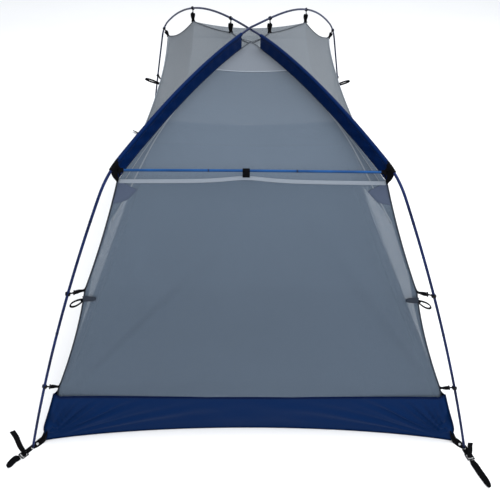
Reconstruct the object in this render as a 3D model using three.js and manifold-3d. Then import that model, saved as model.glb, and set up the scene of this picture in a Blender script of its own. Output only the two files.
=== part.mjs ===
// Two-pole dome tent, pitched, without its rain cover.
// Millimetres, +Z up. -Y is the wide end with the crossbar, and +X is to the right seen from it.
// The origin is on the ground under the middle of the tent.
import * as THREE from 'three';
import Module from 'manifold-3d';
import { mergeVertices } from 'three/addons/utils/BufferGeometryUtils.js';

const wasm = await Module();
wasm.setup();

// ---- driving dimensions -------------------------------------------------------------------
const POLE_R = 4.4;                 // tent pole radius
const PEAK = [0, 24, 1060];         // where the two long poles cross
const CROSS_LIFT = 4.8;             // one pole runs this far above the peak, the other below
const FRONT = {
  foot: [739, -1168], elbow: [426, -882, 900], power: 1.95, bow: 21,
  seam: [-17, 56, 3], drop: 54,     // roof seam: slide at the elbow, and fall below the pole
};
const REAR = {
  foot: [632, 1182], elbow: [458, 880, 816], power: 2.845, bow: 2,
  seam: [-29, -52, 29], drop: 60,
};
const FOOT_Z = 2.6;                 // pole end above the ground, in the strap's eyelet
const BEND = 0.065;                 // share of an arm or leg taken by the pre-bent elbow
const FABRIC = 1.6;                 // stand-in thickness of a single fabric layer
const SEAM_GAP = 3;                 // each panel stops this far from its seam line
const TUB_TOP = 162;
const TUB = {
  thick: 2,
  base: { front: [704, -1140], rear: [620, 1140], bow: [47, 30, 20] },
  rim: { front: [648, -1104], rear: [580, 1100], bow: [22, 15, 0] },
};
const APEX_SEAM = 0.305;             // where the apex panel starts, as a share of the arm
const APEX_END = 0.05;
const DOOR = { front: 0.035, hinge: 0.72, low: 0.05, high: 0.97, arcU: 0.2, arcV: 0.27, gap: 3 };
const SLEEVE = { from: 0.09, to: 0.93, inner: 5.7, outer: 7.2, depth: 50, fin: 1 };
const CROSSBAR = { half: 398, y: -833, z: 890, r: 4.2, clip: -20 };
const CLIP = { inner: 5.5, outer: 8.4, tab: 3.2, width: 14 };
const CLIP_LEG = [229, 543];        // heights of the clips on the front legs
const CLIP_REAR_LEG = [215, 510];
const CLIP_ARM = [0.18, 0.585];     // clips on the rear arms, as a share of the arm
const GUY = { front: [46, -0.45], rear: [92, 0.25], height: 20, wall: 1.8, width: 8, below: 44, off: 8 };
const STRAP = { width: 20, thick: 1.6, lift: 1, back: 30, reach: 22, hole: 5.6 };
const BUCKLE = { length: 25, width: 27, thick: 3.4, bar: 3.5, start: 23.5 };
const STAKE = { start: 51, width: 20, thick: 2.4, slot: [34, 9] };
const STAKE_END = {
  front_left: [-802.4, -1245], front_right: [774, -1320.4],
  rear_left: [-768, 1315.5], rear_right: [806.5, 1248],
};
const SLIDER = { length: 14, height: 9, thick: 5, pull: 24 };
const TIP_GAP = 0.3;

// ---- finishes -----------------------------------------------------------------------------
const finish = (color, roughness, metalness = 0) => ({ color, roughness, metalness });
const GREY_MESH = finish(0x66727f, 0.9);
const PALE_FABRIC = finish(0x8a959f, 0.85);
const NAVY = finish(0x14305c, 0.6);
const SLEEVE_NAVY = finish(0x10203c, 0.75);
const BLACK_WEB = finish(0x0c0d10, 0.85);
const BLACK_PLASTIC = finish(0x101114, 0.45);
const BLUE_POLE = finish(0x1f4f9c, 0.32, 0.9);

const tent = new THREE.Group();
tent.name = 'dome_tent';

function addPart(name, geometry, look) {
  const mesh = new THREE.Mesh(geometry, new THREE.MeshStandardMaterial(look));
  mesh.name = name;
  tent.add(mesh);
  return mesh;
}

// ---- small helpers ------------------------------------------------------------------------
const vec = (x, y, z) => new THREE.Vector3(x, y, z);
const mix = (a, b, t) => a + (b - a) * t;
const smooth = (t) => THREE.MathUtils.smoothstep(t, 0, 1);
const range = (n) => Array.from({ length: n + 1 }, (_, i) => i / n);

function facesOut(positions, index) {
  let volume = 0;
  const at = (i) => vec(...positions.slice(3 * i, 3 * i + 3));
  for (let i = 0; i < index.length; i += 3) {
    volume += at(index[i]).dot(at(index[i + 1]).cross(at(index[i + 2])));
  }
  return volume > 0;
}

function closedGeometry(positions, index) {
  const turned = facesOut(positions, index) ? index : index.slice().reverse();
  const geometry = new THREE.BufferGeometry();
  geometry.setAttribute('position', new THREE.Float32BufferAttribute(positions, 3));
  geometry.setIndex(turned);
  geometry.computeVertexNormals();
  return geometry;
}

// A thin closed panel on a grid of points, half its thickness to each side of the grid.
function sheet(grid, thickness = FABRIC) {
  const rows = grid.length;
  const cols = grid[0].length;
  const sides = [1, -1].map((side) => grid.map((row, i) => row.map((p, j) => {
    const along = grid[i][Math.min(j + 1, cols - 1)].clone().sub(grid[i][Math.max(j - 1, 0)]);
    const up = grid[Math.min(i + 1, rows - 1)][j].clone().sub(grid[Math.max(i - 1, 0)][j]);
    return along.cross(up).normalize().multiplyScalar(side * thickness / 2).add(p);
  })));
  const positions = sides.flat(2).flatMap((p) => [p.x, p.y, p.z]);
  const id = (side, i, j) => side * rows * cols + i * cols + j;
  const index = [];
  const quad = (a, b, c, d) => index.push(a, b, c, a, c, d);
  for (let i = 0; i < rows - 1; i += 1) {
    for (let j = 0; j < cols - 1; j += 1) {
      quad(id(0, i, j), id(0, i, j + 1), id(0, i + 1, j + 1), id(0, i + 1, j));
      quad(id(1, i, j), id(1, i + 1, j), id(1, i + 1, j + 1), id(1, i, j + 1));
    }
  }
  for (let i = 0; i < rows - 1; i += 1) {
    quad(id(0, i, 0), id(0, i + 1, 0), id(1, i + 1, 0), id(1, i, 0));
    quad(id(0, i + 1, cols - 1), id(0, i, cols - 1), id(1, i, cols - 1), id(1, i + 1, cols - 1));
  }
  for (let j = 0; j < cols - 1; j += 1) {
    quad(id(0, 0, j + 1), id(0, 0, j), id(1, 0, j), id(1, 0, j + 1));
    quad(id(0, rows - 1, j), id(0, rows - 1, j + 1), id(1, rows - 1, j + 1), id(1, rows - 1, j));
  }
  return closedGeometry(positions, index);
}

// Rings of equal length joined end to end, with a flat cap on the first and the last.
function loft(rings, section) {
  const n = rings[0].length;
  const positions = rings.flat().flatMap((p) => [p.x, p.y, p.z]);
  const index = [];
  for (let i = 0; i < rings.length - 1; i += 1) {
    for (let j = 0; j < n; j += 1) {
      const k = (j + 1) % n;
      index.push(i * n + j, i * n + k, (i + 1) * n + k, i * n + j, (i + 1) * n + k, (i + 1) * n + j);
    }
  }
  const last = (rings.length - 1) * n;
  const { area, triangulateShape } = THREE.ShapeUtils;
  const turn = Math.sign(area(section));
  for (const [a, b, c] of triangulateShape(section, [])) {
    const same = Math.sign(area([section[a], section[b], section[c]])) === turn;
    const [p, q] = same ? [b, c] : [c, b];
    index.push(q, p, a, last + a, last + p, last + q);
  }
  return closedGeometry(positions, index);
}

function toSolid(geometry) {
  const bare = geometry.clone();
  bare.deleteAttribute('normal');
  bare.deleteAttribute('uv');
  const merged = mergeVertices(bare, 1e-4);
  const vertProperties = new Float32Array(merged.attributes.position.array);
  const triVerts = new Uint32Array(merged.index.array);
  return new wasm.Manifold(new wasm.Mesh({ numProp: 3, vertProperties, triVerts }));
}

function fromSolid(solid) {
  const { vertProperties, triVerts } = solid.getMesh();
  const geometry = new THREE.BufferGeometry();
  geometry.setAttribute('position', new THREE.BufferAttribute(vertProperties, 3));
  geometry.setIndex(new THREE.BufferAttribute(triVerts, 1));
  geometry.computeVertexNormals();
  return geometry;
}

// A flat outline given thickness, and turned so that x, y and z lie along the given directions.
function plate(outline, thickness, origin, xDir, zDir) {
  const geometry = new THREE.ExtrudeGeometry(outline, {
    depth: thickness, bevelEnabled: false, curveSegments: 7,
  });
  geometry.translate(0, 0, -thickness / 2);
  const z = zDir.clone().normalize();
  const x = xDir.clone().addScaledVector(z, -xDir.dot(z)).normalize();
  const y = z.clone().cross(x);
  geometry.applyMatrix4(new THREE.Matrix4().makeBasis(x, y, z).setPosition(origin));
  return geometry;
}

// ---- the pole lines -----------------------------------------------------------------------
// An arm runs from the peak (0) to its elbow (1); a leg runs from its foot (0) to its elbow (1).
function armPoint(end, side, s, lift = 0) {
  const [ex, ey, ez] = end.elbow;
  const z = PEAK[2] - (PEAK[2] - ez) * s ** end.power + lift * (1 - s) ** 8;
  return vec(side * ex * s, mix(PEAK[1], ey, s), z);
}

function legPoint(end, side, t) {
  const [ex, ey, ez] = end.elbow;
  const x = mix(end.foot[0], ex, t) + end.bow * 4 * t * (1 - t);
  return vec(side * x, mix(end.foot[1], ey, t), mix(FOOT_Z, ez, t));
}

const legAtHeight = (end, side, z) => legPoint(end, side, (z - FOOT_Z) / (end.elbow[2] - FOOT_Z));

function elbowCurve(end, side) {
  const [ex, ey, ez] = end.elbow;
  const low = legPoint(end, side, 1 - BEND);
  const high = armPoint(end, side, 1 - BEND);
  return new THREE.QuadraticBezierCurve3(low, vec(side * ex, ey, ez), high);
}

function tube(points, radius, sides = 8) {
  const circle = new THREE.Shape();
  circle.absarc(0, 0, radius, 0, 2 * Math.PI);
  const path = new THREE.CatmullRomCurve3(points);
  const options = { steps: points.length - 1, curveSegments: sides, bevelEnabled: false, extrudePath: path };
  return new THREE.ExtrudeGeometry(circle, options);
}

function shortened(points, gap) {
  const out = points.map((p) => p.clone());
  const trim = (p, next) => p.add(next.clone().sub(p).setLength(gap));
  trim(out[0], out[1]);
  trim(out.at(-1), out.at(-2));
  return out;
}

function addPoleSection(name, points) {
  addPart(name, tube(shortened(points, TIP_GAP), POLE_R), BLUE_POLE);
}

// Each long pole runs from a front foot over the peak to the rear foot on the other side.
function addLongPole(side, lift) {
  const front = side < 0 ? 'left' : 'right';
  const rear = side < 0 ? 'right' : 'left';
  const legs = range(8).map((t) => t * (1 - BEND));
  addPoleSection(`front_leg_pole_${front}`, legs.map((t) => legPoint(FRONT, side, t)));
  addPoleSection(`front_elbow_pole_${front}`, elbowCurve(FRONT, side).getPoints(6));
  const arms = range(18).map((t) => t * (1 - BEND));
  const roof = arms.slice(1).reverse().map((s) => armPoint(FRONT, side, s, lift));
  roof.push(...arms.map((s) => armPoint(REAR, -side, s, lift)));
  addPoleSection(`roof_pole_from_front_${front}`, roof);
  addPoleSection(`rear_elbow_pole_${rear}`, elbowCurve(REAR, -side).getPoints(6));
  addPoleSection(`rear_leg_pole_${rear}`, legs.map((t) => legPoint(REAR, -side, t)));
}

// ---- the seam lines of the canopy ---------------------------------------------------------
function roofSeam(end, side, s) {
  const p = armPoint(end, side, s);
  const w = smooth((s - 0.7) / 0.3);
  return p.add(vec(side * end.seam[0] * w, end.seam[1] * w, end.seam[2] * w - end.drop));
}

function cornerSeam(end, side, v) {
  const [rx, ry] = end === FRONT ? TUB.rim.front : TUB.rim.rear;
  return vec(side * rx, ry, TUB_TOP + SEAM_GAP).lerp(roofSeam(end, side, 1), v);
}

// ---- canopy panels ------------------------------------------------------------------------
function endWall(end, bow) {
  const grid = range(4).map((v) => {
    const right = cornerSeam(end, 1, v * 0.995);
    const half = right.x - SEAM_GAP;
    return range(8).map((u) => {
      const x = mix(-half, half, u);
      const pull = bow * (1 - v) * (1 - (x / half) ** 2);
      return vec(x, right.y - Math.sign(right.y) * pull, right.z);
    });
  });
  return sheet(grid);
}

function endRoof(end, from, to, rows) {
  const grid = range(rows).map((t) => {
    const right = roofSeam(end, 1, mix(from, to, t));
    const half = right.x - SEAM_GAP;
    return range(4).map((u) => vec(mix(-half, half, u), right.y, right.z));
  });
  return sheet(grid);
}

function sideWallPoint(side, u, v) {
  const front = cornerSeam(FRONT, side, v);
  const rear = cornerSeam(REAR, side, v);
  return front.lerp(rear, u);
}

function sideWallSheet(side) {
  const inset = 0.0016;
  const rows = range(6).map((v) => v * 0.995);
  return sheet(rows.map((v) => range(12).map((u) => sideWallPoint(side, mix(inset, 1 - inset, u), v))));
}

function sideRoof(side) {
  const grid = range(9).map((t) => {
    const s = mix(1, APEX_END, t);
    const front = roofSeam(FRONT, side, s).add(vec(side * SEAM_GAP, SEAM_GAP / 2, 0));
    const rear = roofSeam(REAR, side, s).add(vec(side * SEAM_GAP, -SEAM_GAP / 2, 0));
    return range(6).map((u) => front.clone().lerp(rear, u));
  });
  return sheet(grid);
}

// The D-shaped door outline on the side wall, seen from the side, grown or shrunk by a margin.
function doorPrism(side, margin) {
  const wide = margin / 2000;
  const tall = margin / 690;
  const uFront = DOOR.front - wide;
  const uHinge = DOOR.hinge + wide;
  const vLow = DOOR.low - tall;
  const vHigh = DOOR.high + tall;
  const corners = [[uHinge, vHigh], [uHinge, vLow], [uFront, vLow]];
  const arc = range(8).map((t) => {
    const angle = t * Math.PI / 2;
    const u = DOOR.front + DOOR.arcU - Math.cos(angle) * (DOOR.arcU + wide);
    const v = DOOR.high - DOOR.arcV + Math.sin(angle) * (DOOR.arcV + tall);
    return [u, v];
  });
  const outline = [...corners, ...arc].map(([u, v]) => {
    const p = sideWallPoint(side, u, v);
    return new THREE.Vector2(p.y, p.z);
  });
  const ring = (x) => outline.map((p) => vec(x, p.x, p.y));
  return loft([ring(side * 300), ring(side * 800)], outline);
}

function addSide(side, word) {
  const wall = toSolid(sideWallSheet(side));
  const hole = toSolid(doorPrism(side, DOOR.gap / 2));
  const flap = toSolid(doorPrism(side, -DOOR.gap / 2));
  addPart(`side_wall_${word}`, fromSolid(wall.subtract(hole)), PALE_FABRIC);
  addPart(`door_${word}`, fromSolid(wall.intersect(flap)), GREY_MESH);
  addPart(`side_roof_${word}`, sideRoof(side), PALE_FABRIC);
}

// ---- bathtub floor ------------------------------------------------------------------------
function tubRing(shape, share, inset) {
  const at = (key) => [0, 1].map((i) => mix(TUB.base[key][i], TUB.rim[key][i], share));
  const bow = [0, 1, 2].map((i) => mix(TUB.base.bow[i], TUB.rim.bow[i], share));
  const [fx, fy] = at('front').map((c) => c - Math.sign(c) * inset);
  const [rx, ry] = at('rear').map((c) => c - Math.sign(c) * inset);
  const steps = range(6).slice(0, -1);
  const arch = (t) => 4 * t * (1 - t);
  const front = steps.map((t) => [mix(-fx, fx, t), fy + bow[0] * arch(t)]);
  const right = steps.map((t) => [mix(fx, rx, t) - bow[2] * arch(t), mix(fy, ry, t)]);
  const rear = steps.map((t) => [mix(rx, -rx, t), ry - bow[1] * arch(t)]);
  const left = steps.map((t) => [mix(-rx, -fx, t) + bow[2] * arch(t), mix(ry, fy, t)]);
  return [...front, ...right, ...rear, ...left].map(([x, y]) => vec(x, y, shape));
}

function tubFloor() {
  const flat = (ring) => ring.map((p) => new THREE.Vector2(p.x, p.y));
  const block = (low, high, inset) => {
    const rings = [low, high].map((z) => tubRing(z, z / TUB_TOP, inset));
    return toSolid(loft(rings, flat(rings[0])));
  };
  const outer = block(0, TUB_TOP, 0);
  const inner = block(TUB.thick, TUB_TOP + 5, TUB.thick);
  return fromSolid(outer.subtract(inner));
}

// ---- pole sleeves on the front arms -------------------------------------------------------
// The sleeve is one strip wrapped round the pole, hanging below it as a fin sewn to the canopy.
function sleeveSection() {
  const arc = (r, from, to) => range(9).map((t) => {
    const a = THREE.MathUtils.degToRad(mix(from, to, t));
    return [r * Math.cos(a), r * Math.sin(a)];
  });
  const outer = arc(SLEEVE.outer, 250, -72);
  const inner = arc(SLEEVE.inner, -98, 246);
  const fin = [[SLEEVE.fin, -SLEEVE.depth], [-SLEEVE.fin, -SLEEVE.depth]];
  return [...outer, ...fin, ...inner].map(([x, y]) => new THREE.Vector2(x, y));
}

function poleSleeve(side) {
  const section = sleeveSection();
  const across = vec(side * (PEAK[1] - FRONT.elbow[1]), FRONT.elbow[0], 0).normalize();
  const rings = range(14).map((t) => {
    const centre = armPoint(FRONT, side, mix(SLEEVE.from, SLEEVE.to, t), -side * CROSS_LIFT);
    return section.map((q) => centre.clone().addScaledVector(across, q.x).add(vec(0, 0, q.y)));
  });
  return loft(rings, section);
}

// The black corner patch that holds the crossbar's end, between the elbow and the canopy tip.
function hubPatch(side) {
  const tip = roofSeam(FRONT, side, 1).add(vec(side * 5, -8, 6));
  const high = armPoint(FRONT, side, 0.938).add(vec(0, 0, -12));
  const low = elbowCurve(FRONT, side).getPoint(0.45).lerp(tip, 0.22);
  const bend = elbowCurve(FRONT, side).getPoint(0.75).lerp(tip, 0.2);
  const x = high.clone().sub(low).normalize();
  const normal = x.clone().cross(tip.clone().sub(low)).normalize();
  const y = normal.clone().cross(x);
  const local = (p) => new THREE.Vector2(p.clone().sub(low).dot(x), p.clone().sub(low).dot(y));
  const outline = new THREE.Shape([low, tip, high, bend].map(local));
  return plate(outline, 2, low, x, normal);
}

// ---- clips --------------------------------------------------------------------------------
// A hook that wraps most of the pole, with a flat tab towards the canopy along local x.
function clipOutline(reach) {
  const root = Math.asin(CLIP.tab / CLIP.outer);
  const open = THREE.MathUtils.degToRad(200);
  const lip = THREE.MathUtils.degToRad(-105);
  const outline = new THREE.Shape();
  outline.moveTo(reach, -CLIP.tab / 2);
  outline.lineTo(reach, CLIP.tab / 2);
  outline.lineTo(CLIP.outer + 4, CLIP.tab / 2);
  outline.absarc(0, 0, CLIP.outer, root, open, false);
  outline.absarc(0, 0, CLIP.inner, open, lip, true);
  outline.absarc(0, 0, CLIP.outer, lip, -root, false);
  outline.lineTo(CLIP.outer + 4, -CLIP.tab / 2);
  return outline;
}

function clip(centre, along, target, clear, width = CLIP.width) {
  const towards = target.clone().sub(centre);
  const reach = towards.length() - clear;
  return plate(clipOutline(reach), width, centre, towards, along);
}

function addLegClips(end, name, side, word) {
  const heights = end === FRONT ? CLIP_LEG : CLIP_REAR_LEG;
  for (const [i, z] of heights.entries()) {
    const centre = legAtHeight(end, side, z);
    const along = legAtHeight(end, side, z + 10).sub(centre);
    const [low, high] = [cornerSeam(end, side, 0).z, cornerSeam(end, side, 1).z];
    const target = cornerSeam(end, side, (z - 14 - low) / (high - low));
    addPart(`${name}_leg_clip_${['lower', 'upper'][i]}_${word}`, clip(centre, along, target, 4), BLACK_PLASTIC);
  }
}

function addArmClips(side, word) {
  for (const [i, s] of CLIP_ARM.entries()) {
    const centre = armPoint(REAR, side, s, side * CROSS_LIFT);
    const along = armPoint(REAR, side, s + 0.01).sub(armPoint(REAR, side, s));
    const target = centre.clone().add(vec(0, 0, -REAR.drop));
    addPart(`rear_arm_clip_${['inner', 'outer'][i]}_${word}`, clip(centre, along, target, 6), BLACK_PLASTIC);
  }
  const bend = elbowCurve(REAR, side);
  const target = roofSeam(REAR, side, 1);
  addPart(`rear_elbow_clip_${word}`, clip(bend.getPoint(0.5), bend.getTangent(0.5), target, 5), BLACK_PLASTIC);
}

function crossbarClip() {
  const centre = vec(CROSSBAR.clip, CROSSBAR.y, CROSSBAR.z);
  const target = vec(CROSSBAR.clip, roofSeam(FRONT, 1, 1).y, roofSeam(FRONT, 1, 1).z);
  return clip(centre, vec(1, 0, 0), target, 3.5, 18);
}

// ---- guy-out loops ------------------------------------------------------------------------
function roundedBar(length, height) {
  const r = height / 2;
  const outline = new THREE.Shape();
  outline.moveTo(r, -r);
  outline.lineTo(length - r, -r);
  outline.absarc(length - r, 0, r, -Math.PI / 2, Math.PI / 2, false);
  outline.lineTo(r, r);
  outline.absarc(r, 0, r, Math.PI / 2, 1.5 * Math.PI, false);
  return outline;
}

function guyLoop(end, side) {
  const z = (end === FRONT ? CLIP_LEG : CLIP_REAR_LEG)[1] - GUY.below;
  const [low, high] = [cornerSeam(end, side, 0).z, cornerSeam(end, side, 1).z];
  const root = cornerSeam(end, side, (z - low) / (high - low));
  const along = cornerSeam(end, side, 1).sub(cornerSeam(end, side, 0)).normalize();
  const [length, rise] = end === FRONT ? GUY.front : GUY.rear;
  const out = vec(side, end === FRONT ? -0.25 : 0.25, rise).normalize();
  const outline = roundedBar(length, GUY.height);
  const hole = roundedBar(length - 2 * GUY.wall, GUY.height - 2 * GUY.wall);
  outline.holes.push(new THREE.Path(hole.getPoints(7).map((p) => p.add(new THREE.Vector2(GUY.wall, 0)))));
  return plate(outline, GUY.width, root.addScaledVector(out, GUY.off), out, out.clone().cross(along));
}

// ---- ground corners: strap, buckle and stake loop -----------------------------------------
function corner(place) {
  const end = place.startsWith('front') ? FRONT : REAR;
  const side = place.endsWith('left') ? -1 : 1;
  const foot = vec(side * end.foot[0], end.foot[1], 0);
  const tip = vec(...STAKE_END[place], 0);
  return { foot, out: tip.clone().sub(foot).normalize(), length: tip.distanceTo(foot) };
}

function flatBar(from, to, width) {
  const outline = new THREE.Shape();
  outline.moveTo(from, -width / 2);
  outline.lineTo(to, -width / 2);
  outline.lineTo(to, width / 2);
  outline.lineTo(from, width / 2);
  outline.closePath();
  return outline;
}

function slot(outline, x, length, width) {
  const hole = new THREE.Path();
  hole.moveTo(x - length / 2, -width / 2);
  hole.lineTo(x - length / 2, width / 2);
  hole.lineTo(x + length / 2, width / 2);
  hole.lineTo(x + length / 2, -width / 2);
  hole.closePath();
  outline.holes.push(hole);
}

function groundPlate(outline, thickness, place) {
  const { foot, out } = corner(place);
  const origin = foot.clone().add(vec(0, 0, STRAP.lift + thickness / 2));
  return plate(outline, thickness, origin, out, vec(0, 0, 1));
}

function cornerStrap(place) {
  const outline = flatBar(-STRAP.back, STRAP.reach, STRAP.width);
  const hole = new THREE.Path();
  hole.absarc(0, 0, STRAP.hole, 0, 2 * Math.PI, true);
  outline.holes.push(hole);
  return groundPlate(outline, STRAP.thick, place);
}

function buckle(place) {
  const end = BUCKLE.start + BUCKLE.length;
  const outline = flatBar(BUCKLE.start, end, BUCKLE.width);
  const gap = (BUCKLE.length - 3 * BUCKLE.bar) / 2;
  for (const i of [0, 1]) {
    const x = BUCKLE.start + BUCKLE.bar + gap / 2 + i * (gap + BUCKLE.bar);
    slot(outline, x, gap, BUCKLE.width - 8 + i);
  }
  return groundPlate(outline, BUCKLE.thick, place);
}

function stakeLoop(place) {
  const { length } = corner(place);
  const outline = flatBar(STAKE.start, length, STAKE.width);
  const [long, wide] = STAKE.slot;
  const room = Math.min(long, length - STAKE.start - 12);
  slot(outline, length - 6 - room / 2, room, wide);
  return groundPlate(outline, STAKE.thick, place);
}

// ---- door zip sliders ---------------------------------------------------------------------
function zipSlider(side) {
  const u = DOOR.front + 0.03;
  const v = DOOR.low - 0.028;
  const origin = sideWallPoint(side, u, v);
  const along = sideWallPoint(side, u + 0.1, v).sub(origin);
  const up = sideWallPoint(side, u, v + 0.1).sub(origin);
  const out = along.clone().cross(up).normalize();
  out.multiplyScalar(Math.sign(out.x) * side);
  const outline = new THREE.Shape();
  const half = SLIDER.length / 2;
  outline.moveTo(-half, -SLIDER.height / 2);
  outline.lineTo(-2, -SLIDER.height / 2);
  outline.lineTo(-3, -SLIDER.pull);
  outline.lineTo(3, -SLIDER.pull);
  outline.lineTo(2, -SLIDER.height / 2);
  outline.lineTo(half, -SLIDER.height / 2);
  outline.lineTo(half - 3, SLIDER.height / 2);
  outline.lineTo(3 - half, SLIDER.height / 2);
  outline.closePath();
  const lift = FABRIC / 2 + 2 + SLIDER.thick / 2;
  const upright = out.clone().cross(along).dot(up) > 0 ? along : along.clone().negate();
  return plate(outline, SLIDER.thick, origin.addScaledVector(out, lift), upright, out);
}

// ---- assembly -----------------------------------------------------------------------------
addPart('tub_floor', tubFloor(), NAVY);
addPart('front_wall', endWall(FRONT, TUB.rim.bow[0]), GREY_MESH);
addPart('front_roof', endRoof(FRONT, 1, APEX_SEAM + 0.004, 7), GREY_MESH);
addPart('apex_panel', endRoof(FRONT, APEX_SEAM, APEX_END, 3), PALE_FABRIC);
addPart('rear_wall', endWall(REAR, TUB.rim.bow[1]), PALE_FABRIC);
addPart('rear_roof', endRoof(REAR, 1, APEX_END, 9), PALE_FABRIC);
addLongPole(-1, CROSS_LIFT);
addLongPole(1, -CROSS_LIFT);
const barEnds = [-1, -0.5, 0, 0.5, 1].map((t) => vec(t * CROSSBAR.half, CROSSBAR.y, CROSSBAR.z));
addPart('crossbar', tube(barEnds, CROSSBAR.r), BLUE_POLE);
addPart('crossbar_clip', crossbarClip(), BLACK_PLASTIC);
for (const [side, word] of [[-1, 'left'], [1, 'right']]) {
  addSide(side, word);
  addPart(`pole_sleeve_${word}`, poleSleeve(side), SLEEVE_NAVY);
  addPart(`hub_patch_${word}`, hubPatch(side), BLACK_WEB);
  addLegClips(FRONT, 'front', side, word);
  addLegClips(REAR, 'rear', side, word);
  addArmClips(side, word);
  addPart(`front_guy_loop_${word}`, guyLoop(FRONT, side), BLACK_WEB);
  addPart(`rear_guy_loop_${word}`, guyLoop(REAR, side), BLACK_WEB);
  addPart(`zip_slider_${word}`, zipSlider(side), BLACK_PLASTIC);
}
for (const place of Object.keys(STAKE_END)) {
  addPart(`corner_strap_${place}`, cornerStrap(place), BLACK_WEB);
  addPart(`strap_buckle_${place}`, buckle(place), BLACK_PLASTIC);
  addPart(`stake_loop_${place}`, stakeLoop(place), BLACK_WEB);
}

export default tent;
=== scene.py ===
"""The looks of the pitched dome tent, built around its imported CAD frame.

Metres, +Z up, -Y the crossbar end.
"""

import math

import bpy
import numpy as np
from mathutils import Matrix, Vector


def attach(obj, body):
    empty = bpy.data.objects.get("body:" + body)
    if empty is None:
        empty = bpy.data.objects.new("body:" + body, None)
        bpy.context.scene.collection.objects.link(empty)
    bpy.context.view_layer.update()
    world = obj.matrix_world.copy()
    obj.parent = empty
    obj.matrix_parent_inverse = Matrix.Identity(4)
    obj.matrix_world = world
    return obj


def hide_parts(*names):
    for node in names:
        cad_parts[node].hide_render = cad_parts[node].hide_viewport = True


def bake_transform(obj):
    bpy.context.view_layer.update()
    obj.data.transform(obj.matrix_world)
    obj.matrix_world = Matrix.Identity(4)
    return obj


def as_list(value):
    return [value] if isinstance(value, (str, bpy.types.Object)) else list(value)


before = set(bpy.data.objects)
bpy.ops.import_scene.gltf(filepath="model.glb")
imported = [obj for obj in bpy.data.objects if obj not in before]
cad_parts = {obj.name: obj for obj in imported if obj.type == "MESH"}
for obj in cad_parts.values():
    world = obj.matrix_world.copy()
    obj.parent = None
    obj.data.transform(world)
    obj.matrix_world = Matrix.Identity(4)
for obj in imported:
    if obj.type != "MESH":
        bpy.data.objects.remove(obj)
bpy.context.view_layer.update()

ROOT = "tent"
SIDES = ((-1, "left"), (1, "right"))
UP = np.array([0.0, 0.0, 1.0])
BOTH_POLES = ["long_pole_from_front_left", "long_pole_from_front_right"]

# ---- driving dimensions, the same as the CAD part's, in metres ------------------------------
POLE_R = 0.0044
PEAK = np.array([0, 0.024, 1.060])
CROSS_LIFT = 0.0048
FRONT = dict(foot=(0.739, -1.168), elbow=(0.426, -0.882, 0.900), power=1.95, bow=0.021,
             seam=(-0.017, 0.056, 0.003), drop=0.054, rim=(0.648, -1.104), sign=-1,
             clips=(0.229, 0.543), pulls=(0.003, 0.008), dips=(0.002, 0.012, 0.008))
REAR = dict(foot=(0.632, 1.182), elbow=(0.458, 0.880, 0.816), power=2.845, bow=0.002,
            seam=(-0.029, -0.052, 0.029), drop=0.060, rim=(0.580, 1.100), sign=1,
            clips=(0.215, 0.510), pulls=(0.003, 0.008), dips=(0.002, 0.012, 0.009))
FOOT_Z = 0.0026
BEND = 0.065
TUB_TOP = 0.162
TUB_BASE = dict(front=(0.710, -1.138), rear=(0.622, 1.138), bow=(0.055, 0.034, 0.022))
TUB_RIM = dict(front=FRONT["rim"], rear=REAR["rim"], bow=(0.022, 0.015, 0.0))
APEX_SEAM = 0.305
CROSSBAR = dict(half=0.398, y=-0.833, z=0.890, r=0.0042, clip=-0.020)
ARM_CLIPS = (0.18, 0.585)
SIDE_CUT = (2.20, 0.70)              # the cloth that a side wall is cut from, and its door
DOOR_CUT = (1.55, 0.68)
DOOR = dict(front=0.035, hinge=0.72, low=0.05, high=0.97, arc_u=0.20, arc_v=0.27)
CLIP_PULL = 0.014                    # a leg clip meets the seam this far below its hook
STAKE_END = dict(front_left=(-0.8024, -1.245), front_right=(0.774, -1.3204),
                 rear_left=(-0.768, 1.3155), rear_right=(0.8065, 1.248))
WEBBING = 0.020
GUY = dict(front=0.046, rear=0.092)  # length of the guy-out loops
TUB_COUNT = 160                      # points along each edge of the tub
EAVE_SAG = 0.030                     # how far a long eave is drawn in at its middle
FERRULES = (0.115, 0.216, 0.262, 0.375, 0.485, 0.600, 0.735, 0.785, 0.888)    # shares of a pole's length


# ---- camera, light and floor ---------------------------------------------------------------
def add_camera():
    data = bpy.data.cameras.new("camera")
    data.sensor_width = 36
    data.lens = 42.55
    camera = bpy.data.objects.new("camera", data)
    camera.location = (-0.0346, -2.3922, 1.7516)
    yaw_deg, down_deg, roll_deg = -1.1, 36.52, 1.0
    turn = Matrix.Rotation(math.radians(yaw_deg), 3, "Z")
    pitch = Matrix.Rotation(math.radians(90 - down_deg), 3, "X")
    roll = Matrix.Rotation(math.radians(roll_deg), 3, "Z")
    camera.rotation_euler = (turn @ pitch @ roll).to_euler()
    bpy.context.scene.collection.objects.link(camera)
    bpy.context.scene.camera = camera


def add_area(name, place, size, power, target=(0, 0, 0.4)):
    data = bpy.data.lights.new(name, "AREA")
    data.shape = "RECTANGLE"
    data.size, data.size_y = size
    data.energy = power
    light = bpy.data.objects.new(name, data)
    light.location = place
    direction = Vector(target) - Vector(place)
    light.rotation_euler = direction.to_track_quat("-Z", "Y").to_euler()
    bpy.context.scene.collection.objects.link(light)


def add_studio():
    add_area("overhead", (0.9, -0.3, 4.6), (5.5, 5.5), 230)
    add_area("front_fill", (0.8, -4.6, 2.6), (3.5, 2.2), 70)
    world = bpy.data.worlds.new("studio")
    bpy.context.scene.world = world
    world.use_nodes = True
    background = world.node_tree.nodes["Background"]
    background.inputs["Color"].default_value = (0.93, 0.96, 1.0, 1)
    background.inputs["Strength"].default_value = 0.85
    bpy.context.scene.view_settings.view_transform = "Standard"
    bpy.context.scene.view_settings.look = "None"


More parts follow.
